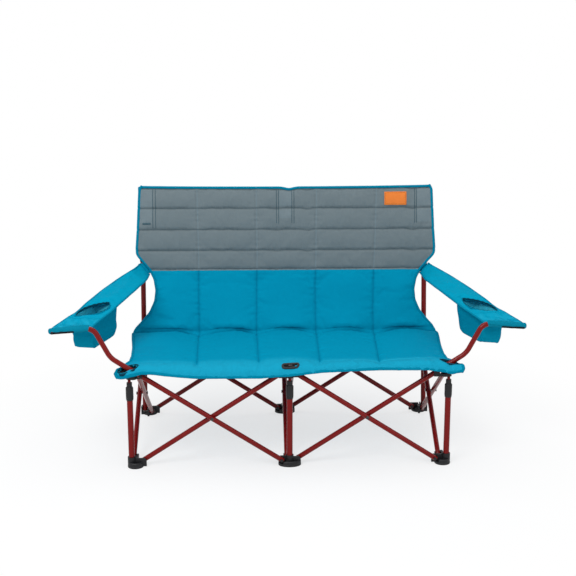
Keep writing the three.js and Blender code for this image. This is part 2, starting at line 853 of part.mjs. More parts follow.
// A padded sheet round a middle surface: the profile gives depth and height for each station, and
// the padding stands out on both sides of it.
function quiltedSheet(profile, edges, rowStations) {
  const across = quiltStations(quiltColumns, columnShares, columnCrownShares);
  const [nu, nv] = [across.length, rowStations.length];
  const points = [];
  [1, -1].forEach((face) => {
    rowStations.forEach((station) => {
      const middle = profile.getPointAt(station.at);
      const tangent = profile.getTangentAt(station.at);
      const edge = edges.getPointAt(station.at).x;
      across.forEach((place) => {
        const rim = place.at === 0 || place.at === 1;
        const swell = (quiltThickness - seamThickness) * place.crown * station.crown;
        const half = (rim ? hemThickness : seamThickness + swell) / 2;
        const x = acrossAt(place.at, edge);
        points.push(at(x, middle.x - face * tangent.y * half, middle.y + face * tangent.x * half));
      });
    });
  });
  const index = [];
  const quad = (a, b, c, d) => index.push(a, b, c, a, c, d);
  const one = nu * nv;
  for (let v = 0; v + 1 < nv; v += 1) {
    for (let u = 0; u + 1 < nu; u += 1) {
      const a = v * nu + u;
      quad(a, a + 1, a + nu + 1, a + nu);
      quad(one + a, one + a + nu, one + a + nu + 1, one + a + 1);
    }
    const [left, right] = [v * nu, v * nu + nu - 1];
    quad(left, left + nu, one + left + nu, one + left);
    quad(right + nu, right, one + right, one + right + nu);
  }
  for (let u = 0; u + 1 < nu; u += 1) {
    const [top, bottom] = [u, (nv - 1) * nu + u];
    quad(top + 1, top, one + top, one + top + 1);
    quad(bottom, bottom + 1, one + bottom + 1, one + bottom);
  }
  const geometry = new THREE.BufferGeometry().setFromPoints(points);
  geometry.setIndex(index);
  return solidOf(geometry);
}

// The sling's middle line in depth and height. It hangs in front of the posts, leaves them below the
// grey panel, and turns at the crease into the seat.
const slingOffset = (postRadius + seatingGap + quiltThickness / 2) / Math.cos(postTilt * degrees);
const backLine = (height) => new THREE.Vector2(postY(height) - slingOffset, height);
const backTop = backLine(postTopHeight + backTopRise);
const backFold = backLine(backFoldHeight);
const crease = new THREE.Vector2(creaseDepth, creaseHeight);
const seatFront = new THREE.Vector2(0, seatFrontHeight);
const foldShare = seatFoldDepth / creaseDepth;
const seatFold = seatFront.clone().lerp(crease, foldShare);

// The middle line bends through points given by a share of the way and a share of sideways bulge.
const lowerBackShares = [
  [0.008, 0],
  [0.3, -0.05],
  [0.65, -0.06],
  [0.88, -0.035],
  [1, 0],
];
const seatShares = [0, 0.34, 0.67, 0.92];
const lipShares = [
  [0.55, 0.03],
  [0.9, 0.3],
  [1, 1],
];

// Half widths of the sling's outline, from the top down, as shares of the quilting's half width.
const backEdgeShares = [1.016, 1.022, 1.028, 1.036, 1.03, 0.935];
const lowerEdgeShares = [0.935, 0.908, 0.93, 1.02, 1.03, 1.018];
const seatEdgeShares = [1.018, 1.005, 0.995, 0.985, 1, 1.066, 1.062];

const curveOf = (points) => new THREE.SplineCurve(points);

function between(from, to, alongShare, outShare) {
  const run = to.clone().sub(from);
  const out = new THREE.Vector2(run.y, -run.x).multiplyScalar(outShare);
  return from.clone().addScaledVector(run, alongShare).add(out);
}

function edgesFrom(shares) {
  const last = shares.length - 1;
  return curveOf(shares.map((share, n) => new THREE.Vector2(share, n / last).multiplyScalar(quiltHalfWidth)));
}

function backPanel() {
  const profile = curveOf([backTop, backTop.clone().add(backFold).divideScalar(2), backFold]);
  const stations = quiltStations(backRows, rowShares, rowCrownShares);
  const sheet = quiltedSheet(profile, edgesFrom(backEdgeShares), stations);
  const pockets = columns.map((column) => {
    const x = postX(column);
    const top = postTopHeight + seatingGap + pocketWall;
    const low = postTopHeight - pocketDepth;
    const [from, to] = [at(x, postY(low), low), at(x, postY(top), top)];
    const radius = postRadius + socketClearance + pocketWall;
    const web = prism(rectangle([-radius, -slingOffset], [radius, 0]), to.distanceTo(from));
    return join(bar(from, to, radius, tubeSides), solidOf(laid(web, from, to.clone().sub(from))));
  });
  const bores = columns.map((column) => {
    const x = postX(column);
    const top = postTopHeight + seatingGap;
    return bar(at(x, postY(0), 0), at(x, postY(top), top), postRadius + socketClearance, tubeSides);
  });
  return cut(join(sheet, ...pockets), ...bores);
}

function lowerBack() {
  const bend = lowerBackShares.map(([along, out]) => between(backFold, crease, along, out));
  const profile = curveOf([...bend, seatFold.clone().add(new THREE.Vector2(seatingGap, 0))]);
  return quiltedSheet(profile, edgesFrom(lowerEdgeShares), plainStations(lowerBackSteps));
}

function seatSheet() {
  const flat = seatShares.map((share) => seatFold.clone().lerp(seatFront, share));
  const lip = lipShares.map(([reach, drop]) => at(-lipReach * reach, seatFrontHeight - lipDrop * drop, 0));
  const profile = curveOf([...flat, ...lip]);
  const sheet = quiltedSheet(profile, edgesFrom(seatEdgeShares), plainStations(seatSteps));
  const [low, high] = [seatFrontHeight - quiltThickness, seatFrontHeight + quiltThickness];
  const slots = [-1, 1].map((side) => {
    const middle = (side * (sideSlotInner + sideSlotOuter)) / 2;
    const half = (sideSlotOuter - sideSlotInner) / 2;
    return slab(slotOutline(middle, 0, half, sideSlotHalfWidth, 0), low, high);
  });
  const eye = slab(slotOutline(0, 0, middleSlotHalfLength, middleSlotHalfWidth, 0), low, high);
  return cut(sheet, ...slots, eye);
}

// Armrests. The outline's stations run from the front hem back to the post: how far back, and where
// the inner and outer edges are, as shares of the armrest's length and of its reach past the column.
const armrestShares = [
  [0, 0.49, 0.93],
  [0.11, 0.41, 0.8],
  [0.24, 0.27, 0.69],
  [0.4, 0.17, 0.56],
  [0.57, 0.06, 0.43],
  [0.75, -0.03, 0.27],
  [0.9, 0.045, 0.145],
  [0.985, 0.08, 0.12],
];

function armrestFrame(side) {
  const { second, end } = armPath(side);
  const front = second.y;
  const rear = postY(armrestRearHeight);
  const reach = Math.abs(end.x) - bayWidth;
  const middleHeight = (second.z + end.z) / 2;
  const slope = (armrestRearHeight - middleHeight) / (rear - front);
  return { front, rear, reach, heightAt: (y) => middleHeight + slope * (y - front) };
}

const lensShares = [
  [0, 0],
  [0.06, 0.8],
  [0.3, 1],
  [0.7, 1],
  [0.94, 0.8],
  [1, 0],
  [0.94, -0.8],
  [0.7, -1],
  [0.3, -1],
  [0.06, -0.8],
];

function cupCentre(side) {
  const { front } = armrestFrame(side);
  return at(side * (bayWidth + cupHoleInset), front + cupHoleAhead, 0);
}

function armrest(side) {
  const { front, rear, reach, heightAt } = armrestFrame(side);
  const { stations, second, end } = armPath(side);
  const rings = armrestShares.map(([back, inner, outer]) => {
    const y = front + back * (rear - front);
    const [from, to] = [bayWidth + inner * reach, bayWidth + outer * reach];
    const half = armrestThickness / 2;
    return lensShares.map(([u, w]) => at(side * (from + u * (to - from)), y, heightAt(y) + w * half));
  });
  const grip = end.clone().sub(second).normalize();
  const hemFrom = second.clone().addScaledVector(grip, hemTubeStart);
  const hemTo = end.clone().addScaledVector(grip, hemTubeEnd);
  const hem = bar(hemFrom, hemTo, braceRadius + socketClearance + hemTubeWall, tubeSides);
  const passage = bentTube(stations, braceRadius + socketClearance, 0);
  const x = side * (bayWidth + postOutboard);
  const [low, high] = [armrestRearHeight - loopHeight / 2, armrestRearHeight + loopHeight / 2];
  const loopRadius = postRadius + socketClearance;
  const loop = bar(at(x, postY(low), low), at(x, postY(high), high), loopRadius + hemTubeWall, tubeSides);
  const eye = bar(at(x, postY(0), 0), at(x, postY(postTopHeight), postTopHeight), loopRadius, tubeSides);
  const centre = cupCentre(side);
  const turn = Math.PI / 2 + side * cupHoleTurn * degrees;
  const middle = heightAt(centre.y);
  const hole = slab(
    slotOutline(centre.x, centre.y, cupHoleLength / 2, cupHoleWidth / 2, turn),
    middle - armrestThickness,
    middle + armrestThickness + overrun,
  );
  return cut(join(solidOf(loft(rings)), hem, loop), passage, eye, hole);
}

// A pouch hangs under the armrest's hole: an open bag whose walls draw in towards its floor.
const pouchDrawShares = [
  [0, 0.66],
  [0.05, 0.78],
  [0.3, 0.9],
  [0.7, 0.97],
  [1, 1],
];

function pouchRing(side, share, size, inset, topHeight) {
  const centre = cupCentre(side);
  const turn = side * cupHoleTurn * degrees;
  const [w, l] = [pouchHalfWidth * size - inset, pouchHalfLength * size - inset];
  const corner = pouchCorner * size;
  const ring = [];
  [1, 2, 3, 4].forEach((quarter) => {
    const [sx, sy] = [quarter === 1 || quarter === 4 ? 1 : -1, quarter < 3 ? 1 : -1];
    for (let i = 0; i < 3; i += 1) {
      const angle = (quarter - 1 + i / 2) * (Math.PI / 2);
      const u = sx * (w - corner) + corner * Math.cos(angle);
      const v = sy * (l - corner) + corner * Math.sin(angle);
      const x = centre.x + u * Math.cos(turn) - v * Math.sin(turn);
      const y = centre.y + u * Math.sin(turn) + v * Math.cos(turn);
      ring.push(at(x, y, pouchFloorHeight + share * (topHeight(y) - pouchFloorHeight)));
    }
  });
  return ring;
}

function pouch(side) {
  const { heightAt } = armrestFrame(side);
  const rim = (y) => heightAt(y) - armrestThickness / 2 - seatingGap;
  const above = (y) => rim(y) + overrun;
  const outer = pouchDrawShares.map(([share, size]) => pouchRing(side, share, size, 0, rim));
  const floorShare = pouchWall / (rim(cupCentre(side).y) - pouchFloorHeight);
  const inner = pouchDrawShares.map(([share, size]) =>
    pouchRing(side, floorShare + share * (1 - floorShare), size, pouchWall, above),
  );
  return cut(solidOf(loft(outer)), solidOf(loft(inner)));
}

// The whole chair
columns.forEach((column) => {
  const [front, back] = rows;
  add(`front_${column.name}_foot`, frontFoot(column, front), black);
  add(`back_${column.name}_foot`, backFoot(column, back), black);
  add(`front_${column.name}_hub`, frontHub(column, front), black);
  add(`back_${column.name}_hub`, backHub(column, back), black);
  addStrut(column, front);
  addPost(column);
  addSideBraces(column);
});
rows.forEach(addPlaneBraces);
add("left_arm_tube", armBrace(-1), red);
add("right_arm_tube", armBrace(1), red);
add("back_panel", backPanel(), grey);
add("lower_back", lowerBack(), teal);
add("seat", seatSheet(), teal);
[-1, 1].forEach((side) => {
  const name = side < 0 ? "left" : "right";
  add(`${name}_armrest`, armrest(side), teal);
  add(`${name}_cup_pouch`, pouch(side), darkTeal);
});

// The chair was laid out from its front row of feet; the origin moves to the middle of its depth.
const extent = new THREE.Box3().setFromObject(root, true);
root.position.set(0, -(extent.min.y + extent.max.y) / 2, 0);

export default root;
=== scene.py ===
# %% [markdown]
# # A folding camping loveseat
#
# Two seats wide, it stands on a quad-fold frame of red tubes. A quilted sling makes the seat and the
# back, and on each side a cloth armrest carries a cup pouch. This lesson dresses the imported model
# of the chair: smooth tubes, moulded plastic, padded cloth, bindings and stitches.

import json
import math

import bmesh
import bpy
import numpy as np
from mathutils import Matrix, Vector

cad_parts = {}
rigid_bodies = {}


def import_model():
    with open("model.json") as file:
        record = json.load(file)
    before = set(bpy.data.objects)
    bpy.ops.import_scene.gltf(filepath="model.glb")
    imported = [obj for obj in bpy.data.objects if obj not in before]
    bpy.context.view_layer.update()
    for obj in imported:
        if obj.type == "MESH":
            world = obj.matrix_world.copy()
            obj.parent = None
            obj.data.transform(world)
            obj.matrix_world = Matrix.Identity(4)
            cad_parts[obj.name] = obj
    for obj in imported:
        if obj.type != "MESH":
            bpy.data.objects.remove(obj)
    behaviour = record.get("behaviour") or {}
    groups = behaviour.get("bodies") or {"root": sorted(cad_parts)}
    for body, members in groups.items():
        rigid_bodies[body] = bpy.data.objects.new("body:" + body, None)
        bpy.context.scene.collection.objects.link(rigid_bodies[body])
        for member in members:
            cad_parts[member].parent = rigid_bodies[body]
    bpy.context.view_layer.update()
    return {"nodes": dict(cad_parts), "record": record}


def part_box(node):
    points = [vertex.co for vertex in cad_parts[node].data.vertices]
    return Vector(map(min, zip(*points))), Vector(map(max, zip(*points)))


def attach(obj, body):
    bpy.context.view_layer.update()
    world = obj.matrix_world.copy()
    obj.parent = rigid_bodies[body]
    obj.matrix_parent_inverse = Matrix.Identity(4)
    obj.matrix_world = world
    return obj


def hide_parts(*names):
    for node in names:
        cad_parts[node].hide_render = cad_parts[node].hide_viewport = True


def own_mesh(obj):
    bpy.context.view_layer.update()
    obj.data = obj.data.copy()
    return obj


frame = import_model()
scene = bpy.context.scene
bodies = frame["record"]["behaviour"]["bodies"]
node_body = {node: body for body, nodes in bodies.items() for node in nodes}

BAY, DEPTH = 0.490, 0.504  # from column to column, and from the front row to the back row
FOOT_Z, HUB_Z = 0.020, 0.303  # heights of the pivots
PIVOT_RUN, SIDE_RUN = 0.026, 0.033  # from a column's axis to its pivots, along X and along Y
LAYER = 0.0085  # crossed tubes pass this far to either side of their plane
TUBE, POST = 0.008, 0.009  # radii of the braces and of the back posts
POST_X, STRUT_X = BAY + 0.018, BAY + 0.012
POST_LEAN = math.radians(8.4)
POST_SLOPE = math.tan(POST_LEAN)
FRONT = float(np.mean([corner[1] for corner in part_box("middle_strut_rod")]))
BACK = FRONT + DEPTH
ROWS = (("front", FRONT), ("back", BACK))
COLUMNS = (("left", -1), ("middle", 0), ("right", 1))
SIDES = (("left", -1), ("right", 1))
print("front row at", round(FRONT, 4), "back row at", round(BACK, 4))

# %% [markdown]
# ## The camera
#
# A catalogue photograph is taken from some metres away with a long lens, a little above the seat.
# The camera stands 3.2 m in front of the front row and 1.3 m up, a little to the left, and looks
# down by about 13 degrees.

# %% Place the camera
camera_data = bpy.data.cameras.new("photo_camera")
camera_data.lens = 66.77
camera_data.sensor_width = 36.0
camera_data.clip_end = 60.0
camera = bpy.data.objects.new("photo_camera", camera_data)
camera.location = (-0.114, FRONT - 3.205, 1.310)
camera.rotation_euler = (math.radians(90 - 12.84), 0.0, math.radians(-1.94))
scene.collection.objects.link(camera)
scene.camera = camera

# %% [markdown]
# ## Nodes
#
# Lights and materials are built from shader nodes. A few small functions keep that short: a value
# given to a socket is either a number, a colour or another socket.


# %% Make nodes
def feed(tree, value, socket):
    """Set a socket to a number or a colour, or link another socket to it."""
    if hasattr(value, "links"):
        tree.links.new(value, socket)
    else:
        socket.default_value = value


def add_node(tree, kind, **values):
    """A shader node with its named sockets fed. An underscore stands for a space in a name."""
    node = tree.nodes.new("ShaderNode" + kind)
    for label, value in values.items():
        feed(tree, value, node.inputs[label.replace("_", " ")])
    return node


def sums(tree, operation, *values):
    """The result of a Math node."""
    node = add_node(tree, "Math")
    node.operation = operation
    for value, socket in zip(values, node.inputs):
        feed(tree, value, socket)
    return node.outputs[0]


def noise_of(tree, coordinates, scale, detail, roughness=0.55, distortion=0.0):
    """The grey value of a Noise Texture read at the coordinates."""
    node = add_node(tree, "TexNoise", Vector=coordinates, Scale=scale, Detail=detail,
                    Roughness=roughness, Distortion=distortion)
    return node.outputs["Fac"]


def mixed(tree, share, first, second):
    """A colour between two colours, by a share."""
    node = add_node(tree, "Mix")
    node.data_type = "RGBA"
    for slot, value in ((0, share), (6, first), (7, second)):
        feed(tree, value, node.inputs[slot])
    return node.outputs[2]


def seen_rays(tree):
    """One where a ray comes from the camera, a gloss or a clear material, and zero elsewhere."""
    path = add_node(tree, "LightPath").outputs
    glossy = sums(tree, "MAXIMUM", path["Is Camera Ray"], path["Is Glossy Ray"])
    return sums(tree, "MAXIMUM", glossy, path["Is Transmission Ray"])


def show_mix(tree, share, first, second, output):
    """Send a mix of two shaders to the tree's output."""
    blend = add_node(tree, "MixShader")
    for value, socket in zip((share, first.outputs[0], second.outputs[0]), blend.inputs):
        tree.links.new(value, socket)
    tree.links.new(blend.outputs[0], add_node(tree, output).inputs[0])


# %% [markdown]
# ## Light and floor
#
# The light is a studio's: a bright even surround, a broad key from the upper left and a weaker fill.
# The floor is pale and keeps the chair's shadow near its feet. Further out it fades into the same
# white as the surround, so that no horizon shows.

# %% Light the studio
scene.view_settings.view_transform = "Standard"


def add_lamp(name, place, turn, size, power):
    """An area lamp at a place, turned by Euler angles in degrees."""
    data = bpy.data.lights.new(name, "AREA")
    data.shape, data.size, data.energy = "DISK", size, power
    lamp = bpy.data.objects.new(name, data)
    lamp.location = place
    lamp.rotation_euler = [math.radians(angle) for angle in turn]
    scene.collection.objects.link(lamp)


add_lamp("key", (-1.6, -2.6, 3.2), (42, 0, -30), 2.0, 84)
add_lamp("fill", (2.4, -2.2, 2.0), (55, 0, 48), 2.4, 18)
add_lamp("top", (0.2, 0.6, 3.4), (-8, 0, 0), 3.0, 30)

world = bpy.data.worlds.new("studio")
world.use_nodes = True
scene.world = world
wires = world.node_tree
wires.nodes.clear()
surround = add_node(wires, "Background", Color=(0.93, 0.96, 1.0, 1), Strength=0.52)
bright = add_node(wires, "Background", Color=(1, 1, 1, 1))
show_mix(wires, seen_rays(wires), surround, bright, "OutputWorld")

# %% Lay the floor
REACH = 14.0
floor_mesh = bpy.data.meshes.new("studio_floor")
corners = [(-REACH, -REACH, 0), (REACH, -REACH, 0), (REACH, REACH, 0), (-REACH, REACH, 0)]
floor_mesh.from_pydata(corners, [], [(0, 1, 2, 3)])
floor = bpy.data.objects.new("studio_floor", floor_mesh)
scene.collection.objects.link(floor)
pale = bpy.data.materials.new("pale_floor")
pale.use_nodes = True
wires = pale.node_tree
wires.nodes.clear()
away = add_node(wires, "VectorMath")
away.operation = "LENGTH"
wires.links.new(add_node(wires, "TexCoord").outputs["Object"], away.inputs[0])
fade = add_node(wires, "MapRange", Value=away.outputs["Value"], From_Min=0.35, From_Max=1.3,
                To_Min=0.66)
card = add_node(wires, "BsdfDiffuse", Color=(0.9, 0.9, 0.905, 1))
share = sums(wires, "MULTIPLY", fade.outputs[0], seen_rays(wires))
show_mix(wires, share, card, add_node(wires, "Emission"), "OutputMaterial")
floor_mesh.materials.append(pale)

# %% [markdown]
# ## Finishes
#
# Three effects are shared. The cloth is a plain weave: two sines of the cloth's own UV map, which is
# in metres, cross each other, and broad noise mottles the dye. The paint has orange peel and small
# rubbed spots. The moulded plastic has a fine grain. Each effect is a node group that puts out a
# colour, a roughness and two heights, and each material feeds them to its own shader.


# %% Build the shared node groups
def surface_group(name, inputs):
    """An empty node group that puts out a surface. An input is a colour or a number."""
    colour, number = "NodeSocketColor", "NodeSocketFloat"
    tree = bpy.data.node_groups.new(name, "ShaderNodeTree")
    for label, value in inputs.items():
        kind = colour if isinstance(value, tuple) else number
        tree.interface.new_socket(label, in_out="INPUT", socket_type=kind).default_value = value
    for label in ("Colour", "Roughness", "Height", "Crumple"):
        kind = colour if label == "Colour" else number
        tree.interface.new_socket(label, in_out="OUTPUT", socket_type=kind)
    given, made = tree.nodes.new("NodeGroupInput"), tree.nodes.new("NodeGroupOutput")
    return tree, given.outputs, made.inputs


def scaled(tree, value, gain, base):
    """The value times a gain, plus a base."""
    return sums(tree, "ADD", sums(tree, "MULTIPLY", value, gain), base)


weave, given, made = surface_group("plain_weave", {
    "Dye": (0.5, 0.5, 0.5, 1), "Worn dye": (0.6, 0.6, 0.6, 1), "Threads per metre": 1500.0,
    "Mottle": 0.5, "Seam shadow": (0.1, 0.1, 0.1, 1), "Seam light": (0.7, 0.7, 0.7, 1),
})
cloth_place = add_node(weave, "TexCoord").outputs["UV"]
split = add_node(weave, "SeparateXYZ", Vector=cloth_place).outputs
turns = sums(weave, "MULTIPLY", given["Threads per metre"], math.pi)
warp = sums(weave, "SINE", sums(weave, "MULTIPLY", split["X"], turns))
weft = sums(weave, "SINE", sums(weave, "MULTIPLY", split["Y"], turns))
thread = sums(weave, "MULTIPLY_ADD", sums(weave, "MULTIPLY", warp, weft), 0.5, 0.5)
fibre = noise_of(weave, cloth_place, 2600.0, 2.0)
cloud = noise_of(weave, cloth_place, 7.0, 5.0, 0.6)
streak = noise_of(weave, cloth_place, 60.0, 3.0, 0.5)
dirt = scaled(weave, cloud, 0.75, sums(weave, "MULTIPLY", streak, 0.25))
dirt = sums(weave, "MULTIPLY", sums(weave, "SUBTRACT", dirt, 0.35), given["Mottle"])
glint = sums(weave, "MULTIPLY", sums(weave, "SUBTRACT", fibre, 0.5), 0.35)
cloth_colour = mixed(weave, sums(weave, "ADD", dirt, glint), given["Dye"], given["Worn dye"])
# the tint attribute: below zero it mixes in painted shade, above zero a pale seam tone and painted
# highlights
tinted = add_node(weave, "Attribute")
tinted.attribute_name = "tint_and_painted_light"
# painted shade in the seams and the crease, where the tint is below zero
dark = sums(weave, "MAXIMUM", sums(weave, "MULTIPLY", tinted.outputs["Fac"], -1.0), 0.0)
cloth_colour = mixed(weave, dark, cloth_colour, given["Seam shadow"])
# a pale tone, painted highlight and painted sheen where the tint is above zero
light = sums(weave, "MAXIMUM", tinted.outputs["Fac"], 0.0)
weave.links.new(mixed(weave, light, cloth_colour, given["Seam light"]), made["Colour"])
weave.links.new(scaled(weave, fibre, 0.2, 0.68), made["Roughness"])
weave.links.new(scaled(weave, fibre, 0.4, thread), made["Height"])
weave.links.new(noise_of(weave, cloth_place, 21.0, 3.0, 0.5, 0.9), made["Crumple"])

paint, given, made = surface_group(
    "rubbed_paint", {"Paint": (0.5, 0.1, 0.1, 1), "Rubbed": (0.6, 0.3, 0.3, 1), "Rub": 0.5}
)
metal_place = add_node(paint, "TexCoord").outputs["Object"]
patch = noise_of(paint, metal_place, 14.0, 6.0, 0.65)
spots = add_node(paint, "MapRange", Value=patch, From_Min=0.56, From_Max=0.78)
rubbed = sums(paint, "MULTIPLY", spots.outputs[0], given["Rub"])
paint.links.new(mixed(paint, rubbed, given["Paint"], given["Rubbed"]), made["Colour"])
paint.links.new(scaled(paint, patch, 0.18, 0.14), made["Roughness"])
paint.links.new(noise_of(paint, metal_place, 900.0, 2.0), made["Height"])
paint.links.new(patch, made["Crumple"])

grain, given, made = surface_group(
    "moulded_grain",
    {"Resin": (0.02, 0.02, 0.02, 1), "Scuffed": (0.08, 0.08, 0.08, 1), "Scuff": 0.5},
)
resin_place = add_node(grain, "TexCoord").outputs["Object"]
pebble = add_node(grain, "TexVoronoi", Vector=resin_place, Scale=1500.0)
scuff = noise_of(grain, resin_place, 45.0, 6.0, 0.7)
marks = sums(grain, "MULTIPLY", scuff, given["Scuff"])
grain.links.new(mixed(grain, marks, given["Resin"], given["Scuffed"]), made["Colour"])
grain.links.new(scaled(grain, scuff, 0.3, 0.35), made["Roughness"])
grain.links.new(pebble.outputs["Distance"], made["Height"])
grain.links.new(scuff, made["Crumple"])

# %% [markdown]
# A finish sets an effect's colours and how deep its bumps are.


def srgb(red, green, blue):
    """A colour as seen on screen, 0 to 255, made linear for the shader."""
    channel = [value / 255 for value in (red, green, blue)]
    return [v / 12.92 if v <= 0.04045 else ((v + 0.055) / 1.055) ** 2.4 for v in channel] + [1.0]


def finish(name, slot, effect, values, fine, broad=0.0, **settings):
    """A material: the effect's colour and roughness, with a fine and a broad bump in metres."""
    material = bpy.data.materials.new(name)
    material.use_nodes = True
    tree = material.node_tree
    shader = tree.nodes["Principled BSDF"]
    node = add_node(tree, "Group")
    node.node_tree = effect
    for label, value in values.items():
        node.inputs[label].default_value = value
    tree.links.new(node.outputs["Colour"], shader.inputs["Base Color"])
    tree.links.new(node.outputs["Roughness"], shader.inputs["Roughness"])
    target = shader.inputs["Normal"]
    for output, distance in (("Height", fine), ("Crumple", broad)):
        if distance:
            bump = add_node(tree, "Bump", Distance=distance, Strength=1.0, Height=node.outputs[output])
            tree.links.new(bump.outputs[0], target)
            target = bump.inputs["Normal"]
    for label, value in settings.items():
        shader.inputs[label.replace("_", " ")].default_value = value
    return material


def cloth(name, slot, dye, worn, mottle=0.5, threads=1500.0, fine=0.00012, broad=0.0, seams=None):
    """Woven polyester, which is matt. Seams get two colours: a painted shade, and a pale tone that also
    makes painted highlights.
    """
    values = {"Dye": srgb(*dye), "Worn dye": srgb(*worn), "Threads per metre": threads, "Mottle": mottle}
    if seams:
        values["Seam shadow"], values["Seam light"] = (srgb(*colour) for colour in seams)
    return finish(name, slot, weave, values, fine, broad, Specular_IOR_Level=0.02)


def yarn(name, slot, dye, worn):
    """Sewing thread, which is too thin for a bump."""
    return cloth(name, slot, dye, worn, 0.6, 4000.0, 0.0)


# each cloth's colour of painted shade, then its pale tone that also makes painted highlights
TEAL_SEAMS = (0, 92, 124), (40, 170, 200)
GREY_SEAMS = (52, 66, 72), (142, 162, 172)
teal_cloth = cloth("teal_cloth", "teal_cloth", (0, 138, 172), (0, 156, 190), broad=0.002,
                   seams=TEAL_SEAMS)
hem_cloth = cloth("hem_cloth", "teal_cloth", (6, 122, 148), (18, 138, 164), broad=0.004)
armrest_cloth = cloth("armrest_cloth", "teal_cloth", (0, 146, 178), (8, 164, 194), broad=0.004,
                      seams=TEAL_SEAMS)
pouch_cloth = cloth("pouch_cloth", "dark_teal_cloth", (0, 134, 164), (6, 152, 182), broad=0.006)
pouch_lining = cloth("pouch_lining", "dark_teal_cloth", (60, 190, 214), (90, 206, 226), broad=0.006)
grey_cloth = cloth("grey_cloth", "grey_cloth", (110, 122, 126), (126, 137, 140), broad=0.0015,
                   seams=GREY_SEAMS)
binding_tape = cloth("binding_tape", "teal_cloth", (0, 124, 154), (4, 142, 172), 0.4, 900.0, 0.0002)
dark_elastic = cloth("dark_elastic", "teal_cloth", (14, 62, 80), (22, 80, 100), 0.5, 1200.0, 0.0002)
dark_webbing = cloth("dark_webbing", "black_plastic", (26, 28, 30), (48, 50, 52), 0.5, 700.0, 0.0003)
patch_cloth = cloth("patch_cloth", "grey_cloth", (236, 132, 62), (214, 108, 44), 0.7, 1800.0, 0.0001)
seam_thread = yarn("seam_thread", "grey_cloth", (70, 92, 100), (100, 124, 132))
teal_thread = yarn("teal_thread", "teal_cloth", (0, 104, 136), (10, 128, 160))
pale_thread = yarn("pale_thread", "grey_cloth", (108, 134, 144), (126, 150, 160))
dark_thread = yarn("dark_thread", "grey_cloth", (48, 40, 36), (80, 62, 50))

RED = {"Paint": srgb(118, 13, 11), "Rubbed": srgb(140, 36, 30), "Rub": 0.3}
BLACK = {"Resin": srgb(17, 17, 19), "Scuffed": srgb(46, 46, 48), "Scuff": 0.4}
STEEL = {"Paint": srgb(70, 66, 66), "Rubbed": srgb(150, 146, 144), "Rub": 0.8}
red_paint = finish("red_paint", "red_paint", paint, RED, 0.00006, Specular_IOR_Level=0.18)
black_plastic = finish("black_plastic", "black_plastic", grain, BLACK, 0.00012, Specular_IOR_Level=0.3)
dark_steel = finish("dark_steel", "rivet_steel", paint, STEEL, 0.00005, Metallic=0.85)
print(len(bpy.data.materials), "materials")

# %% [markdown]
# ## Making pieces
#
# Every piece is a mesh worked out with numpy. Two makers cover nearly all of them: a section swept
# along a path, for tubes, bindings and threads, and a closed shell between two grids, for padded
# cloth. Each keeps a UV map in metres, so that the weave follows the cloth.

# %% Turn arrays into a piece
by_body = {}


def make_piece(name, points, faces, material, body, replaces=(), uv=None, zones=None, sharp=None):
    """A mesh object in the chair's frame that rides on a body.

    UV values are per point. Zones say which of the materials each face has, and edges between two
    sharp points are sharp.
    """
    materials = material if isinstance(material, list) else [material]
    mesh = bpy.data.meshes.new(name)
    mesh.from_pydata(np.asarray(points).tolist(), [], faces)
    mesh.polygons.foreach_set("use_smooth", [True] * len(mesh.polygons))
    for each in materials:
        mesh.materials.append(each)
    if uv is not None:
        corner = np.empty(len(mesh.loops), dtype=np.int32)
        mesh.loops.foreach_get("vertex_index", corner)
        mesh.uv_layers.new(name="cloth").data.foreach_set("uv", np.asarray(uv)[corner].ravel())
    if zones is not None:
        mesh.polygons.foreach_set("material_index", zones)
    if sharp is not None:
        ends = np.empty(2 * len(mesh.edges), dtype=np.int32)
        mesh.edges.foreach_get("vertices", ends)
        mesh.edges.foreach_set("use_edge_sharp", sharp[ends.reshape(-1, 2)].all(axis=1))
    mesh.update()
    piece = bpy.data.objects.new(name, mesh)
    scene.collection.objects.link(piece)
    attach(piece, body)
    by_body.setdefault(body, []).append(piece)
    if replaces:
        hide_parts(*replaces)
    return piece


def unit(vectors):
    """Each vector over its own length."""
    vectors = np.asarray(vectors, dtype=float)
    return vectors / np.maximum(np.linalg.norm(vectors, axis=-1, keepdims=True), 1e-12)


def round_angles(count):
    """Evenly spaced angles round a circle."""
    return np.arange(count) * 2 * np.pi / count


def swept_points(path, up, half_width, half_height, sides, dome, closed):
    """Rings of a flattened round section along a path.

    With T along the path, N the given up made square to T, and S = T x N, a ring's point is
    centre + half_width cos(a) S + half_height sin(a) N. Open ends close in a dome of shrinking rings.
    """
    path = np.asarray(path, dtype=float)
    if closed:
        tangent = unit(np.roll(path, -1, axis=0) - np.roll(path, 1, axis=0))
    else:
        tangent = unit(np.gradient(path, axis=0))
    up = np.broadcast_to(np.asarray(up, dtype=float), path.shape)
    normal = unit(up - (up * tangent).sum(-1, keepdims=True) * tangent)
    side = np.cross(tangent, normal)
    wide = np.broadcast_to(np.asarray(half_width, dtype=float), len(path))
    high = np.broadcast_to(np.asarray(half_height, dtype=float), len(path))
    size = np.ones(len(path))
    if not closed:
        bend = np.radians([89.0, 68.0, 45.0, 22.0])
        depth = dome * min(wide[0], high[0])
        lead = path[0] - tangent[0] * (depth * np.sin(bend))[:, None]
        tail = (path[-1] + tangent[-1] * (depth * np.sin(bend))[:, None])[::-1]
        path = np.vstack([lead, path, tail])
        pick = np.r_[[0] * 4, np.arange(len(size)), [len(size) - 1] * 4]
        side, normal, wide, high = side[pick], normal[pick], wide[pick], high[pick]
        size = np.r_[np.cos(bend), size, np.cos(bend)[::-1]]
    angle = round_angles(sides)
    across = (size * wide)[:, None, None] * np.cos(angle)[None, :, None] * side[:, None, :]
    upward = (size * high)[:, None, None] * np.sin(angle)[None, :, None] * normal[:, None, :]
    return path[:, None, :] + across + upward


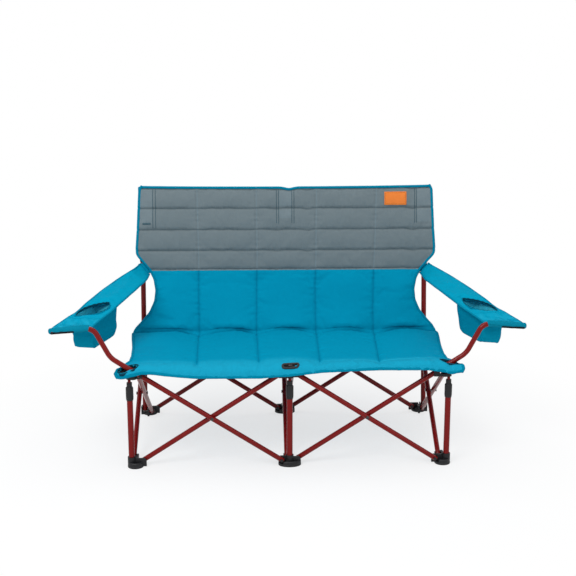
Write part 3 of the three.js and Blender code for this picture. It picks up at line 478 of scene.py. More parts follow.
def ring_faces(rings, sides, closed=False):
    """Quads between neighbouring rings, and a flat cap over each open end."""
    a = np.arange(rings if closed else rings - 1)[:, None] * sides
    b = (a + sides) % (rings * sides)
    i = np.arange(sides)[None, :]
    j = (i + 1) % sides
    faces = np.stack([a + i, b + i, b + j, a + j], axis=-1).reshape(-1, 4).tolist()
    if not closed:
        faces.append(np.arange(sides).tolist())
        faces.append((np.arange(sides)[::-1] + (rings - 1) * sides).tolist())
    return faces


def ring_uv(rings):
    """UV in metres on swept rings: round the section and along the path."""
    step = np.linalg.norm(np.diff(rings.mean(axis=1), axis=0), axis=-1)
    along = np.r_[0, np.cumsum(step)]
    round_step = np.linalg.norm(rings[len(rings) // 2, 0] - rings[len(rings) // 2, 1])
    around = np.arange(rings.shape[1]) * round_step
    return np.stack(np.meshgrid(around, along), axis=-1).reshape(-1, 2)


def sweep(name, path, up, half_width, half_height, material, body, sides=24, dome=0.5, closed=False,
          replaces=()):
    """A piece of a flattened round section along a path."""
    rings = swept_points(path, up, half_width, half_height, sides, dome, closed)
    faces = ring_faces(len(rings), sides, closed)
    make_piece(name, rings.reshape(-1, 3), faces, material, body, replaces, ring_uv(rings))


def shell_faces(rows, columns, keep=None):
    """Quads of a closed shell of two grids: front, back, and walls on every open edge.

    The back grid's points follow the front's. An edge of the front grid that only one kept quad uses
    is open, and a wall joins it to the same edge of the back.
    """
    a = (np.arange(rows - 1)[:, None] * columns + np.arange(columns - 1)[None, :]).ravel()
    front = np.stack([a, a + columns, a + columns + 1, a + 1], axis=-1)
    if keep is not None:
        front = front[np.asarray(keep).ravel()]
    count = rows * columns
    edges = np.vstack([front[:, [k, (k + 1) % 4]] for k in range(4)])
    code = np.minimum(edges[:, 0], edges[:, 1]) * count + np.maximum(edges[:, 0], edges[:, 1])
    _, first, uses = np.unique(code, return_index=True, return_counts=True)
    ends = edges[first[uses == 1]]
    walls = np.stack([ends[:, 1], ends[:, 0], ends[:, 0] + count, ends[:, 1] + count], axis=-1)
    return front, front[:, ::-1] + count, walls


def both_sides(front, back):
    """The points of two grids, the front's before the back's."""
    return np.vstack([front.reshape(-1, front.shape[-1]), back.reshape(-1, back.shape[-1])])


def shell(name, front, back, uv, material, body, replaces=(), keep=None, flip=False, sharp=None):
    """A piece between two grids. Of two materials, the front has the first and the rest the second."""
    parts = shell_faces(*front.shape[:2], keep)
    zones = None
    if isinstance(material, list):
        zones = (np.arange(sum(len(part) for part in parts)) >= len(parts[0])).astype(int)
    faces = np.vstack(parts)[:, :: -1 if flip else 1].tolist()
    return make_piece(name, both_sides(front, back), faces, material, body, replaces,
                      both_sides(uv, uv), zones, sharp)


def store_tint_and_painted_light(piece, front, back):
    """Store the tint that the cloth's shader reads, for both grids of a shell: pale tones, painted shade
    and painted highlights.
    """
    values = np.r_[front.ravel(), back.ravel()].astype(np.float32)
    piece.data.attributes.new("tint_and_painted_light", "FLOAT", "POINT").data.foreach_set("value", values)


def corners_in(inside):
    """For each quad of a grid, how many of its corners are inside."""
    inside = inside.astype(int)
    return inside[:-1, :-1] + inside[1:, :-1] + inside[:-1, 1:] + inside[1:, 1:]


# %% [markdown]
# ## Tubes
#
# The braces, posts and struts are round steel tubes with red paint. A brace runs from a foot's
# pivot to a hub's pivot and a little past both. Each is swept along its own line, so it stays
# round from close by, and its ends are closed by shallow domes.

# %% Sweep the braces
OVERRUN = 0.0052


def brace(node, low, high, side):
    """A brace between two pivots, which replaces its CAD node."""
    low, high = np.array(low), np.array(high)
    past = unit(high - low) * OVERRUN
    sweep(f"{node}_tube", np.linspace(low - past, high + past, 12), side, TUBE, TUBE, red_paint,
          node_body[node], 32, 0.35, replaces=[node])


for row, y in ROWS:
    for bay, sign in SIDES:
        inner, outer = sign * PIVOT_RUN, sign * (BAY - PIVOT_RUN)
        outward, homeward = ("falling", "rising")[::-sign]
        if row == "back":
            y0 = y + sign * LAYER
            brace(f"back_{bay}_brace_{outward}", (inner, y0, FOOT_Z), (outer, y0, HUB_Z), (0, 1, 0))
        y1 = y - sign * LAYER
        brace(f"{row}_{bay}_brace_{homeward}", (outer, y1, FOOT_Z), (inner, y1, HUB_Z), (0, 1, 0))

near, far = FRONT + SIDE_RUN, BACK - SIDE_RUN
for name, sign in COLUMNS:
    x0, x1 = sign * BAY - LAYER, sign * BAY + LAYER
    brace(f"{name}_side_brace_front_foot", (x0, near, FOOT_Z), (x0, far, HUB_Z), (1, 0, 0))
    brace(f"{name}_side_brace_back_foot", (x1, far, FOOT_Z), (x1, near, HUB_Z), (1, 0, 0))

# %% Sweep the posts and struts
POST_FOOT, POST_TOP, MIDDLE_POST_TOP = 0.0145, 0.8085, 0.8035
# each strut part's lower end, upper end and radius
STRUT_PARTS = {
    "tube": (0.0085, 0.2450, 0.0095), "middle_tube": (0.0265, 0.2755, 0.0072),
    "rod": (0.0405, 0.2965, 0.00475),
}


def post_y(z):
    """The depth of a back post's axis at a height."""
    return BACK + (z - FOOT_Z) * POST_SLOPE


for name, sign in COLUMNS:
    top = POST_TOP if sign else MIDDLE_POST_TOP
    ends = [(sign * POST_X, post_y(z), z) for z in (POST_FOOT, top)]
    sweep(f"{name}_post_tube", np.linspace(*ends, 16), (1, 0, 0), POST, POST, red_paint,
          f"{name}_back_post", 32, 0.4, replaces=[f"{name}_back_post"])
    for part, (low, high, radius) in STRUT_PARTS.items():
        node = f"{name}_strut_{part}"
        line = np.linspace((sign * STRUT_X, FRONT, low), (sign * STRUT_X, FRONT, high), 10)
        sweep(f"{name}_{part}_round", line, (1, 0, 0), radius, radius, red_paint, node_body[node], 28,
              0.05, replaces=[node])

# %% [markdown]
# The two arm tubes start as front braces. Past its corner hub, each bends up and then out to lie
# flat in the armrest's front hem. The path is a polyline whose corners are rounded by arcs.

# %% Bend the arm tubes
ARM_LEGS = (0.110, 0.108, 0.128)  # from the hub to the first bend, to the second, to the tip
ARM_RISE, ARM_TIP = 62.5, -4.0  # degrees up, after each bend
ARM_BENDS = (0.070, 0.034)  # radii


def rounded_path(corners, radii, steps=16):
    """A polyline with arcs at its corners.

    At a corner with half angle h between its legs, the arc's centre lies radius / sin(h) along the
    legs' bisector, and the arc touches each leg radius / tan(h) from the corner.
    """
    points = [corners[0]]
    for before, corner, after, radius in zip(corners, corners[1:], corners[2:], radii):
        back, ahead = unit(before - corner), unit(after - corner)
        half = math.acos(float(np.clip(back @ ahead, -1, 1))) / 2
        centre = corner + unit(back + ahead) * radius / math.sin(half)
        first = corner + back * radius / math.tan(half) - centre
        last = corner + ahead * radius / math.tan(half) - centre
        turn = np.linspace(0, 1, steps)[:, None]
        full = math.pi - 2 * half
        arc = (np.sin((1 - turn) * full) * first + np.sin(turn * full) * last) / math.sin(full)
        points.extend(centre + arc)
    points.append(corners[-1])
    return np.array(points)


def heading(sign, degrees):
    """A direction in the front plane, away from the middle and up by an angle."""
    return np.array([sign * math.cos(math.radians(degrees)), 0, math.sin(math.radians(degrees))])


def arm_corners(sign):
    """The arm tube's corner points: just before the foot's pivot, two bends and the tip."""
    run, rise = BAY - 2 * PIVOT_RUN, HUB_Z - FOOT_Z
    low = np.array([sign * PIVOT_RUN, FRONT + sign * LAYER, FOOT_Z])
    slope = math.degrees(math.atan2(rise, run))
    hub = low + heading(sign, slope) * math.hypot(run, rise)
    first = hub + heading(sign, slope) * ARM_LEGS[0]
    second = first + heading(sign, ARM_RISE) * ARM_LEGS[1]
    tip = second + heading(sign, ARM_TIP) * ARM_LEGS[2]
    return low - heading(sign, slope) * 0.005, first, second, tip


for name, sign in SIDES:
    sweep(f"{name}_arm_bent_tube", rounded_path(arm_corners(sign), ARM_BENDS), (0, 1, 0), TUBE, TUBE,
          red_paint, f"{name}_arm", 32, 0.3, replaces=[f"{name}_arm_tube"])

# %% [markdown]
# ## Moulded parts
#
# The feet, hubs and collars are black nylon mouldings, and the rivets are dark steel. Their shapes
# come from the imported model. A copy of each gets a small bevel, because a moulding's edges are
# never knife sharp and a rounded edge is what catches the light.


# %% Round the mouldings' edges
def rounded_copy(node, material, width):
    """A copy of a CAD node with merged points and bevelled edges, which replaces it."""
    same_point, same_plane, edge = 2e-5, math.radians(2), math.radians(38)
    name = f"{node}_rounded"
    mesh = frame["nodes"][node].data.copy()
    mesh.name = name
    shape = bmesh.new()
    shape.from_mesh(mesh)
    bmesh.ops.remove_doubles(shape, verts=shape.verts, dist=same_point)
    bmesh.ops.dissolve_limit(shape, angle_limit=same_plane, verts=shape.verts, edges=shape.edges)
    shape.to_mesh(mesh)
    shape.free()
    mesh.materials.clear()
    mesh.materials.append(material)
    mesh.polygons.foreach_set("use_smooth", [True] * len(mesh.polygons))
    piece = bpy.data.objects.new(name, mesh)
    scene.collection.objects.link(piece)
    bevel = piece.modifiers.new("edges", "BEVEL")
    bevel.width, bevel.segments, bevel.limit_method = width, 2, "ANGLE"
    bevel.angle_limit = edge
    piece.modifiers.new("flats", "WEIGHTED_NORMAL").keep_sharp = True
    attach(piece, node_body[node])
    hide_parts(node)


for node in sorted(node_body):
    if node.endswith(("_foot", "_hub", "_collar")) and "brace" not in node:
        rounded_copy(node, black_plastic, 0.0009)
    elif node.endswith("_rivet"):
        rounded_copy(node, dark_steel, 0.0005)

# %% [markdown]
# Each foot stands on a round sole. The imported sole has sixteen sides, so a smooth one of 72 sides
# goes round it, a quarter of a millimetre proud.


# %% Turn the soles
def turned(name, centre, profile, stretch, material, body, sides=72):
    """A profile of (radius, height) turned about the vertical and stretched along X."""
    profile = np.asarray(profile, dtype=float)
    angle = round_angles(sides)
    radius, height = profile[:, 0, None], profile[:, 1, None]
    x = centre[0] + stretch * radius * np.cos(angle)
    y = centre[1] + radius * np.sin(angle)
    points = np.stack([x, y, np.broadcast_to(height, x.shape)], axis=-1)
    faces = [face[::-1] for face in ring_faces(len(profile), sides)]
    make_piece(name, points.reshape(-1, 3), faces, material, body)


SOLE = ((0.0002, 0.0), (0.0236, 0.0), (0.0249, 0.0005), (0.0253, 0.0018), (0.0253, 0.0050),
        (0.0247, 0.0064), (0.0232, 0.0081), (0.0200, 0.0082), (0.0002, 0.0082))
MIDDLE_STRETCH = 1.44
for row, y in ROWS:
    for name, sign in COLUMNS:
        stretch = 1.0 if sign else MIDDLE_STRETCH
        turned(f"{row}_{name}_sole", (sign * BAY, y), SOLE, stretch, black_plastic,
               node_body[f"{row}_{name}_foot"])

# %% [markdown]
# ## The quilted sling
#
# The seat and the back are one long padded cloth that hangs between the posts and the front hubs.
# Seen from the side, its middle follows one smooth line: down the back, round the crease, forward
# along the seat and over the front lip. The quilting divides it into cells, and the padding swells
# between the seams.


# %% Draw the sling's line
def smooth_line(points, per=40):
    """A Catmull-Rom curve through the points, and the index of each point on it.

    Between p1 and p2: p1 + t/2 (p2-p0) + t^2/2 (2p0-5p1+4p2-p3) + t^3/2 (3p1-p0-3p2+p3).
    """
    p = np.asarray(points, dtype=float)
    p = np.vstack([2 * p[0] - p[1], p, 2 * p[-1] - p[-2]])
    t = (np.arange(per) / per)[None, :, None]
    a, b, c, d = (p[k : len(p) - 3 + k][:, None, :] for k in range(4))
    curve = (
        b
        + t / 2 * (c - a)
        + t**2 / 2 * (2 * a - 5 * b + 4 * c - d)
        + t**3 / 2 * (3 * b - a - 3 * c + d)
    )
    return np.vstack([curve.reshape(-1, p.shape[1]), p[-2]]), np.arange(len(points)) * per


POST_GAP = (POST + 0.0003 + 0.0075) / math.cos(POST_LEAN)


def on_back(z):
    """Depth and height of the sling's middle on the upper back."""
    return np.array([post_y(z) - POST_GAP, z])


TOP, HINGE = on_back(0.818), on_back(0.518)
CREASE, SEAT_FRONT = np.array([FRONT + 0.465, 0.322]), np.array([FRONT, 0.334])
SEAT_HINGE = SEAT_FRONT + (CREASE - SEAT_FRONT) * 0.340 / 0.465
LIP_RUN, LIP_DROP = 0.037, 0.034
run = CREASE - HINGE
drift = np.array([run[1], -run[0]])
line_points = [TOP, (TOP + HINGE) / 2, HINGE]
line_points += [HINGE + run * a + drift * b for a, b in ((0.3, -0.05), (0.65, -0.06), (0.88, -0.035))]
line_points += [CREASE, SEAT_HINGE]
line_points += [SEAT_HINGE + (SEAT_FRONT - SEAT_HINGE) * a for a in (0.34, 0.67, 0.92)]
line_points += [
    SEAT_FRONT + np.array([-LIP_RUN * a, -LIP_DROP * b]) for a, b in ((0.48, 0.14), (0.86, 0.44), (1, 1))
]
line, knots = smooth_line(line_points)
arc = np.r_[0, np.cumsum(np.linalg.norm(np.diff(line, axis=0), axis=1))]
S_HINGE, S_CREASE, S_SEAT, S_FRONT, S_END = (float(arc[knots[k]]) for k in (2, 6, 7, 10, 13))
print("along the sling: hinge", round(S_HINGE, 3), "crease", round(S_CREASE, 3), "end", round(S_END, 3))

# %% [markdown]
# The grid's rows run across the sling and its columns along it. Rows lie closer together at the
# crease, where the cloth turns sharply. The width follows a table read off the chair: broad at the
# shoulders, narrow at the waist, broad again at the crease and broadest at the front corners.

# %% Set out the quilting
SEAM_ROWS = [0.0085, 0.0804, 0.1562, 0.2306, S_HINGE - 0.0055]
# places along the sling, and how many rows lie between each and the one before it
STATIONS = (
    (SEAM_ROWS[0], 2), (SEAM_ROWS[1], 10), (SEAM_ROWS[2], 10), (SEAM_ROWS[3], 10), (SEAM_ROWS[4], 8),
    (S_HINGE, 3), (S_CREASE - 0.03, 25), (S_CREASE + 0.03, 14), (S_SEAT, 13), (S_FRONT, 44),
    (S_END, 11),
)
stops = [0] + [stop for stop, _ in STATIONS]
steps = [count for _, count in STATIONS]
row_s = [np.linspace(a, b, n, endpoint=False) for a, b, n in zip(stops, stops[1:], steps)]
row_s = np.concatenate(row_s + [[S_END]])
starts = np.cumsum([0] + steps)
ROW_HINGE, ROW_CREASE, ROW_SEAT = int(starts[6]), int(starts[7]) + 7, int(starts[9])

# the sling's half width at places along it
WIDTHS = np.array([
    (0.0, 0.515), (0.006, 0.525), (0.08, 0.529), (0.16, 0.533), (0.228, 0.538), (0.246, 0.536),
    (0.276, 0.509), (S_HINGE, 0.487), (S_HINGE + 0.03, 0.472), (S_HINGE + 0.07, 0.464),
    (S_HINGE + 0.11, 0.467), (S_HINGE + 0.15, 0.483), (S_CREASE - 0.035, 0.515),
    (S_CREASE - 0.015, 0.534), (S_CREASE, 0.541), (S_CREASE + 0.04, 0.537), (S_SEAT, 0.528),
    (S_FRONT - 0.2, 0.514), (S_FRONT - 0.085, 0.505), (S_FRONT - 0.03, 0.507),
    (S_FRONT - 0.012, 0.524), (S_FRONT + 0.008, 0.541), (S_END - 0.012, 0.545), (S_END, 0.537),
])
# how far the left outer, right inner and right outer seams stand off their straight lines
WANDER_AT = (0, S_HINGE, S_HINGE + 0.15, S_CREASE, S_CREASE + 0.12, S_FRONT)
WANDER = (
    (0, 0.0045, 0.005, 0.005, 0.006, 0.007),
    (0.002, 0.003, 0.006, 0.009, 0.006, 0),
    (0.006, 0.009, 0.012, 0.016, 0.010, 0),
)


def half_width(s):
    """The sling's half width: the table, with its corners softened over 8 mm."""
    soften = np.linspace(-0.008, 0.008, 9)
    return np.mean([np.interp(s + shift, *WIDTHS.T) for shift in soften], axis=0)


def lean(s):
    """How far the cloth sits to the right of the frame's middle: a little at the top, none below."""
    return 0.008 * np.interp(s, [0.0, 0.25, S_HINGE + 0.04, S_CREASE], [1.0, 0.9, 0.5, 0.0])


def seam_x(s):
    """X of the six column borders at a place along the sling: the two edges and four seams."""
    toward_front = np.clip(s / S_END, 0, 1)
    inner, outer = 0.107 - 0.011 * toward_front, 0.319 - 0.037 * toward_front
    left_outer, right_inner, right_outer = (np.interp(s, WANDER_AT, offsets) for offsets in WANDER)
    edge = half_width(s)
    seams = [-edge, -outer - left_outer, -inner, inner + right_inner, outer + right_outer, edge]
    return np.stack(seams, axis=-1) + lean(s)[..., None]


def off_columns(x, s):
    """Distance from the nearest of the four column seams."""
    return np.min(np.abs(x[..., None] - seam_x(s)[..., 1:5]), axis=-1)


CELL_STEPS = (24, 26, 26, 26, 24)
SEAM_COLUMNS = np.cumsum((0,) + CELL_STEPS)
cell = np.r_[np.repeat(np.arange(5), CELL_STEPS), 4]
cell_share = np.concatenate([np.arange(n) / n for n in CELL_STEPS] + [[1.0]])
borders = seam_x(row_s)
X = borders[:, cell] + (borders[:, np.minimum(cell + 1, 5)] - borders[:, cell]) * cell_share
S = np.broadcast_to(row_s[:, None], X.shape)
print("sling grid", X.shape)


# %% [markdown]
# Heights come in layers. First the swell of each cell, which is zero on the seams. Then the sag of
# the seat between the columns, long soft ripples, and the groove of the crease. A sum of sine waves
# with fixed directions gives the ripples, so each run makes the same cloth.


# %% Swell the cells and groove the crease
def ripples(u, v, wavelength, seed, count=9):
    """A smooth random field: the mean of sine waves of about one wavelength in fixed directions."""
    chance = np.random.default_rng(seed)
    angle = chance.uniform(0, 2 * np.pi, count)
    length = wavelength * chance.uniform(0.7, 1.5, count)
    phase = chance.uniform(0, 2 * np.pi, count)
    turns = 2 * np.pi / length
    field = [
        np.sin(k * (u * math.cos(a) + v * math.sin(a)) + p) for k, a, p in zip(turns, angle, phase)
    ]
    return np.sum(field, axis=0) / math.sqrt(count / 2)


def bell(distance, width):
    """A bell curve of a distance."""
    return np.exp(-((distance / width) ** 2))


def ramp(value, length, power=1):
    """Zero below zero, rising to one over the length."""
    return np.clip(value / length, 0, 1) ** power


def crease_at(x, s):
    """Where the crease runs: further forward where the column seams cross it."""
    return S_CREASE + 0.003 * ripples(x, 0 * x, 0.16, 8) + 0.015 * bell(off_columns(x, s), 0.042)


across_swell = np.sin(np.pi * cell_share)[None, :] ** 0.55
row_share = np.zeros(len(row_s))
for low, high in zip([0.0] + SEAM_ROWS[:-1], SEAM_ROWS):
    inside = (row_s >= low) & (row_s < high)
    row_share[inside] = np.sin(np.pi * (row_s[inside] - low) / (high - low)) ** 0.5
row_share[row_s < SEAM_ROWS[0]] *= 0.2
strip = (row_s >= SEAM_ROWS[-1]) & (row_s < S_HINGE)
row_share[strip] = 0.2 * np.sin(np.pi * (row_s[strip] - SEAM_ROWS[-1]) / (S_HINGE - SEAM_ROWS[-1]))
lower = row_s >= S_HINGE
ends = ramp(row_s - S_HINGE, 0.03) * np.clip((S_END - row_s) / 0.02, 0.15, 1)
row_share[lower] = np.sqrt(ends[lower]) * (1 - 0.75 * bell(row_s[lower] - S_CREASE, 0.012))
swell = row_share[:, None] * across_swell

waves = 0.0004 * ripples(X, S, 0.13, 3) + ramp(S - S_HINGE, 0.05) * 0.0016 * ripples(X, S, 0.24, 5)
sag = -0.006 * ramp(S - S_CREASE, 0.15) * np.sin(np.pi * np.abs(X) / BAY) ** 2
crease_line = crease_at(X, S)
groove = -0.011 * bell(S - crease_line, 0.0085) + 0.004 * bell(S - (crease_line - 0.022), 0.014)
groove -= 0.30 * (crease_line - S_CREASE) * bell(S - crease_line, 0.030)
crease_drop = (0.005 + 0.013 * bell(off_columns(X, S), 0.05)) * bell(S - (S_CREASE + 0.004), 0.040)
print("the crease runs between", round(crease_line.min(), 3), "and", round(crease_line.max(), 3))

# %% [markdown]
# The front lip and the top edge each have a line of their own. The lip rises and falls across the
# chair, and its corners droop over the hubs. The top edge dips over each bay, and a small notch
# marks the middle post.

# %% Shape the lip and the top edge
LIP_RISE = np.array([
    # across the chair, and how far the lip is lifted there
    (-0.55, 0.0120), (-0.52, 0.0070), (-0.49, 0.0110), (-0.46, 0.0180), (-0.43, 0.0180),
    (-0.35, 0.0085), (-0.29, 0.0030), (-0.10, 0.0020), (0.0, 0.0080), (0.10, 0.0190),
    (0.28, 0.0250), (0.43, 0.0240), (0.49, 0.0150), (0.505, 0.0140), (0.525, 0.0220), (0.55, 0.0290),
])
lip_lift = ramp(S - S_FRONT, S_END - S_FRONT, 1.4) * np.interp(X, *LIP_RISE.T)
near_front = ramp(S - S_FRONT + 0.10, 0.10, 2)
droop = near_front * ramp(np.abs(X) - 0.485, 0.05) * np.where(X < 0, 0.004, 0.010)
left_low = near_front * (0.009 * ramp(-X - 0.36, 0.12) + 0.004 * ramp(-X - 0.50, 0.03))
notch = 0.0055 * bell(X - 0.018, 0.020)
bay_dip = 0.0050 * np.clip(np.cos(X * np.pi / 1.06), 0, 1) ** 0.6
edge_dip = np.clip(1 - S / 0.06, 0, 1) * (notch + bay_dip)

SKIN, FRONT_SWELL, BACK_SWELL = 0.0016, 0.0066, 0.0036
rim = np.ones(X.shape)
rim[:, [0, -1]] = 0.6


def on_line(s):
    """Depth and height of the sling's middle line at a place along it."""
    return np.stack([np.interp(s, arc, line[:, k]) for k in (0, 1)], axis=-1)


def sheet(height):
    """The sling's points with a height above its middle line, along the facing normal."""
    place, step = on_line(S), 0.004
    way = unit(on_line(S + step) - on_line(S - step))
    drop = waves + sag + height
    y = place[..., 0] + way[..., 1] * drop
    z = place[..., 1] - way[..., 0] * drop + lip_lift - droop - edge_dip - crease_drop
    return np.stack([X, y, z], axis=-1)


def padded_grids(share):
    """The sling's front and back grids, with the padding's swell taken by a share."""
    front = SKIN * rim + share * FRONT_SWELL * swell + groove - left_low
    back = -SKIN * rim - share * BACK_SWELL * swell + 0.4 * groove
    return sheet(front), sheet(back)


# %% [markdown]
# ## Letting the padding swell
#
# The shell between the two grids is closed and handed to the cloth solver. The points on the seams,
# the crease and the hems are held, the cloth is a few per cent too large for its place, and air
# pressure fills it. It then puckers between the seams as real quilting does. How far a point may
# move is capped, so that the padding stays in its space.

# %% Simulate the padding
PADDING = {
    "quality": 6, "mass": 0.25, "air_damping": 3.0, "tension_stiffness": 18,
    "compression_stiffness": 18, "shear_stiffness": 6, "bending_stiffness": 0.35,
    "tension_damping": 10, "compression_damping": 10, "vertex_group_mass": "held",
    "shrink_min": -0.022, "use_pressure": True, "uniform_pressure_force": 4.0,
}
FRAMES, CAP = 20, 0.006


def puff(front, back, held):
    """The two grids after the cloth solver has filled the shell, each move limited to the cap."""
    points = both_sides(front, back)
    mesh = bpy.data.meshes.new("padding_trial")
    mesh.from_pydata(points.tolist(), [], np.vstack(shell_faces(*front.shape[:2])).tolist())
    trial = bpy.data.objects.new("padding_trial", mesh)
    scene.collection.objects.link(trial)
    group = trial.vertex_groups.new(name="held")
    group.add(np.flatnonzero(np.r_[held.ravel(), held.ravel()]).tolist(), 1.0, "REPLACE")
    solver = trial.modifiers.new("padding", "CLOTH")
    solver.point_cache.frame_start, solver.point_cache.frame_end = 1, FRAMES
    for label, value in PADDING.items():
        setattr(solver.settings, label, value)
    solver.settings.effector_weights.gravity = 0
    solver.collision_settings.use_collision = False
    scene.frame_start, scene.frame_end = 1, FRAMES
    for frame_number in range(1, FRAMES + 1):
        scene.frame_set(frame_number)
    result = trial.evaluated_get(bpy.context.evaluated_depsgraph_get())
    moved = np.empty(3 * len(points))
    result.data.vertices.foreach_get("co", moved)
    scene.frame_set(1)
    bpy.data.objects.remove(trial)
    bpy.data.meshes.remove(mesh)
    step = moved.reshape(-1, 3) - points
    size = np.linalg.norm(step, axis=1, keepdims=True)
    step *= CAP * np.tanh(size / CAP) / np.maximum(size, 1e-9)
    print("padding moved by up to", round(float(size.max()) * 1000, 1), "mm before the cap")
    return (points + step).reshape((2,) + front.shape)


held = np.zeros(X.shape, dtype=bool)
held[:, SEAM_COLUMNS] = True
held[[0, -1], :] = True
for value in SEAM_ROWS + [S_HINGE]:
    held[np.argmin(np.abs(row_s - value)), :] = True
held[ROW_CREASE - 3 : ROW_CREASE + 4, :] = True

grids = padded_grids(1.0)
puffed = puff(*padded_grids(0.55), held)
share = np.interp(S, [0.0, S_HINGE, S_HINGE + 0.05, S_END], [0.40, 0.40, 0.70, 0.70])
share = (share * (1 - 0.8 * bell(S - S_CREASE, 0.03)))[..., None]
grids = [full + share * (soft - full) for full, soft in zip(grids, puffed)]


# %% [markdown]
# The solver's grid is coarse. A finer one takes its place: halfway between two points, each new
# point is (9 (b + c) - (a + d)) / 16 of its four neighbours in line.


# %% Refine the cloth
def twice(grid):
    """The grid with a new line of points between every two lines of its first direction."""
    padded = np.concatenate([2 * grid[:1] - grid[1:2], grid, 2 * grid[-1:] - grid[-2:-1]])
    half = (9 * (padded[1:-2] + padded[2:-1]) - padded[:-3] - padded[3:]) / 16
    fine = np.empty((2 * len(grid) - 1,) + grid.shape[1:])
    fine[::2], fine[1::2] = grid, half
    return fine


def finer(grid):
    """The grid refined both ways."""
    return np.swapaxes(twice(np.swapaxes(twice(grid), 0, 1)), 0, 1)


def halves(values):
    """A row of numbers with the mean of every two neighbours between them."""
    return np.interp(np.arange(2 * len(values) - 1) / 2, np.arange(len(values)), values)


def grid_normals(grid):
    """Unit normals of a grid, from the cross product of its two gradients."""
    return unit(np.cross(np.gradient(grid, axis=0), np.gradient(grid, axis=1)))


fine_s = halves(row_s)
fine_X = np.array([halves(row) for row in X])
fine_X = np.array([halves(column) for column in fine_X.T]).T
fine_S = np.broadcast_to(fine_s[:, None], fine_X.shape)
to_column = off_columns(fine_X, fine_S)
row_wave = 0.0009 * ripples(fine_X, 0 * fine_X, 0.05, 14)
to_row = np.min(np.abs((fine_S + row_wave)[..., None] - np.array(SEAM_ROWS)), axis=-1)
to_stitch = np.where(fine_S < S_FRONT + 0.004, to_column, 1.0)
in_grey = fine_S < S_HINGE - 0.001
ridge_line = S_FRONT + np.interp(fine_X, (-0.5, 0.0, 0.5), (-0.006, 0.004, -0.006))
ridge = bell(fine_S - ridge_line, 0.0026) * ramp(0.475 - np.abs(fine_X), 0.02)
ridge *= np.interp(fine_X, (-0.5, -0.1, 0.1, 0.5), (0.4, 0.15, 0.8, 1.0))
on_lip = ramp(fine_S - S_FRONT + 0.030, 0.050)
print("fine sling grid", fine_X.shape)

# %% [markdown]
# On the fine grid the seams get their narrow grooves and the small puckers that thread pulls into cloth.
# The front's skin is also tinted: painted shade darkens the crease, the cross seams and the teal column
# seams, the grey's column seams and the grey hem are pale, the raised pockets get a little painted light,
# and the lip gets a painted sheen with a painted highlight along its ridge.

# %% Groove and tint the seams
down_seam = bell(to_column, 0.0026)
cross_seam = bell(to_row, 0.0026) * in_grey
# painted shade along the teal column seams; the grey's column seams get a pale tone
tint = np.where(in_grey, 0.22 * down_seam, -0.36 * bell(to_stitch, 0.0034))
# painted shade along the cross seams
tint = tint * (1 - cross_seam) - 0.58 * cross_seam
# painted light on the raised post pockets
pocket = (fine_S > 0.012) & (fine_S < 0.131) & ((fine_X < -0.470) | (fine_X > 0.478))
pocket |= (fine_S > 0.012) & (fine_S < 0.118) & (np.abs(fine_X - 0.0045) < 0.0225)
tint += 0.12 * pocket
tint = np.where(in_grey & (fine_S > SEAM_ROWS[-1] + 0.0012), 0.30, tint)
# painted shade in the crease
tint -= 0.95 * bell(fine_S - (crease_at(fine_X, fine_S) - 0.002), 0.0058)
# painted highlight along the lip's ridge, and painted sheen over the lip
tint += 0.60 * ridge + 0.38 * on_lip

grooves = -0.0020 * bell(np.minimum(to_stitch, to_row), 0.0036)
pucker = 0.00075 * np.exp(-to_stitch / 0.016) * ripples(0 * fine_X, fine_S, 0.017, 11, 6)
pucker += 0.0006 * np.exp(-to_row / 0.014) * ripples(fine_X, 0 * fine_S, 0.019, 12, 6)
pucker += 0.0006 * bell(fine_S - S_CREASE, 0.03) * ripples(fine_X, 0.4 * fine_S, 0.028, 13, 7)
pucker += 0.0012 * ridge + 0.0009 * on_lip * ripples(fine_X, 0.5 * fine_S, 0.034, 17, 7)

THINNEST = 0.0010
front_fine, back_fine = (finer(grid) for grid in grids)
front_fine += grid_normals(front_fine) * (grooves + pucker)[..., None]
back_fine -= grid_normals(back_fine) * (0.6 * grooves - 0.5 * pucker)[..., None]
front_normal = grid_normals(front_fine)
thickness = ((front_fine - back_fine) * front_normal).sum(-1)
back_fine -= front_normal * np.maximum(THINNEST - thickness, 0)[..., None]
print("the padding is up to", round(float(thickness.max()) * 1000, 1), "mm thick")

# %% [markdown]
# The arm tubes and the middle front hub come up through the seat. Around each, the quads inside the
# opening are left out and the points on its border are drawn onto its outline. A bound rim covers the
# edge afterwards, and a dark sheet round each arm tube closes the gap as painted shade.

# %% Open the slots
# half length and radius of the round-ended slots
ARM_SLOT, EYE_SLOT = (0.031, 0.0190), (0.0235, 0.0062)
OPENINGS = {
    "left_slot": ((-0.5035, FRONT - 0.006), ARM_SLOT),
    "right_slot": ((0.505, FRONT + 0.001), ARM_SLOT),
    "middle_eye": ((0.0015, FRONT - 0.0272), EYE_SLOT),
}
keep_quads = np.ones((front_fine.shape[0] - 1, front_fine.shape[1] - 1), dtype=bool)
near_seat = fine_S > S_SEAT + 0.1
for centre, (half_length, radius) in OPENINGS.values():
    straight = half_length - radius
    beyond = np.maximum(np.abs(front_fine[..., 0] - centre[0]) - straight, 0)
    off = np.hypot(beyond, front_fine[..., 1] - centre[1]) - radius
    inside = (off < 0) & near_seat
    keep_quads &= corners_in(inside) < 4
    border = inside & (off > -0.0048)
    for grid in (front_fine, back_fine):
        spots = grid[border]
        flat = spots[:, :2] - np.array(centre)
        core = np.clip(flat[:, 0], -straight, straight)
        away = unit(flat - np.stack([core, np.zeros(len(core))], axis=-1))
        spots[:, 0] = centre[0] + core + away[:, 0] * radius
        spots[:, 1] = centre[1] + away[:, 1] * radius
        grid[border] = spots
print(int((~keep_quads).sum()), "quads left out of the slots")


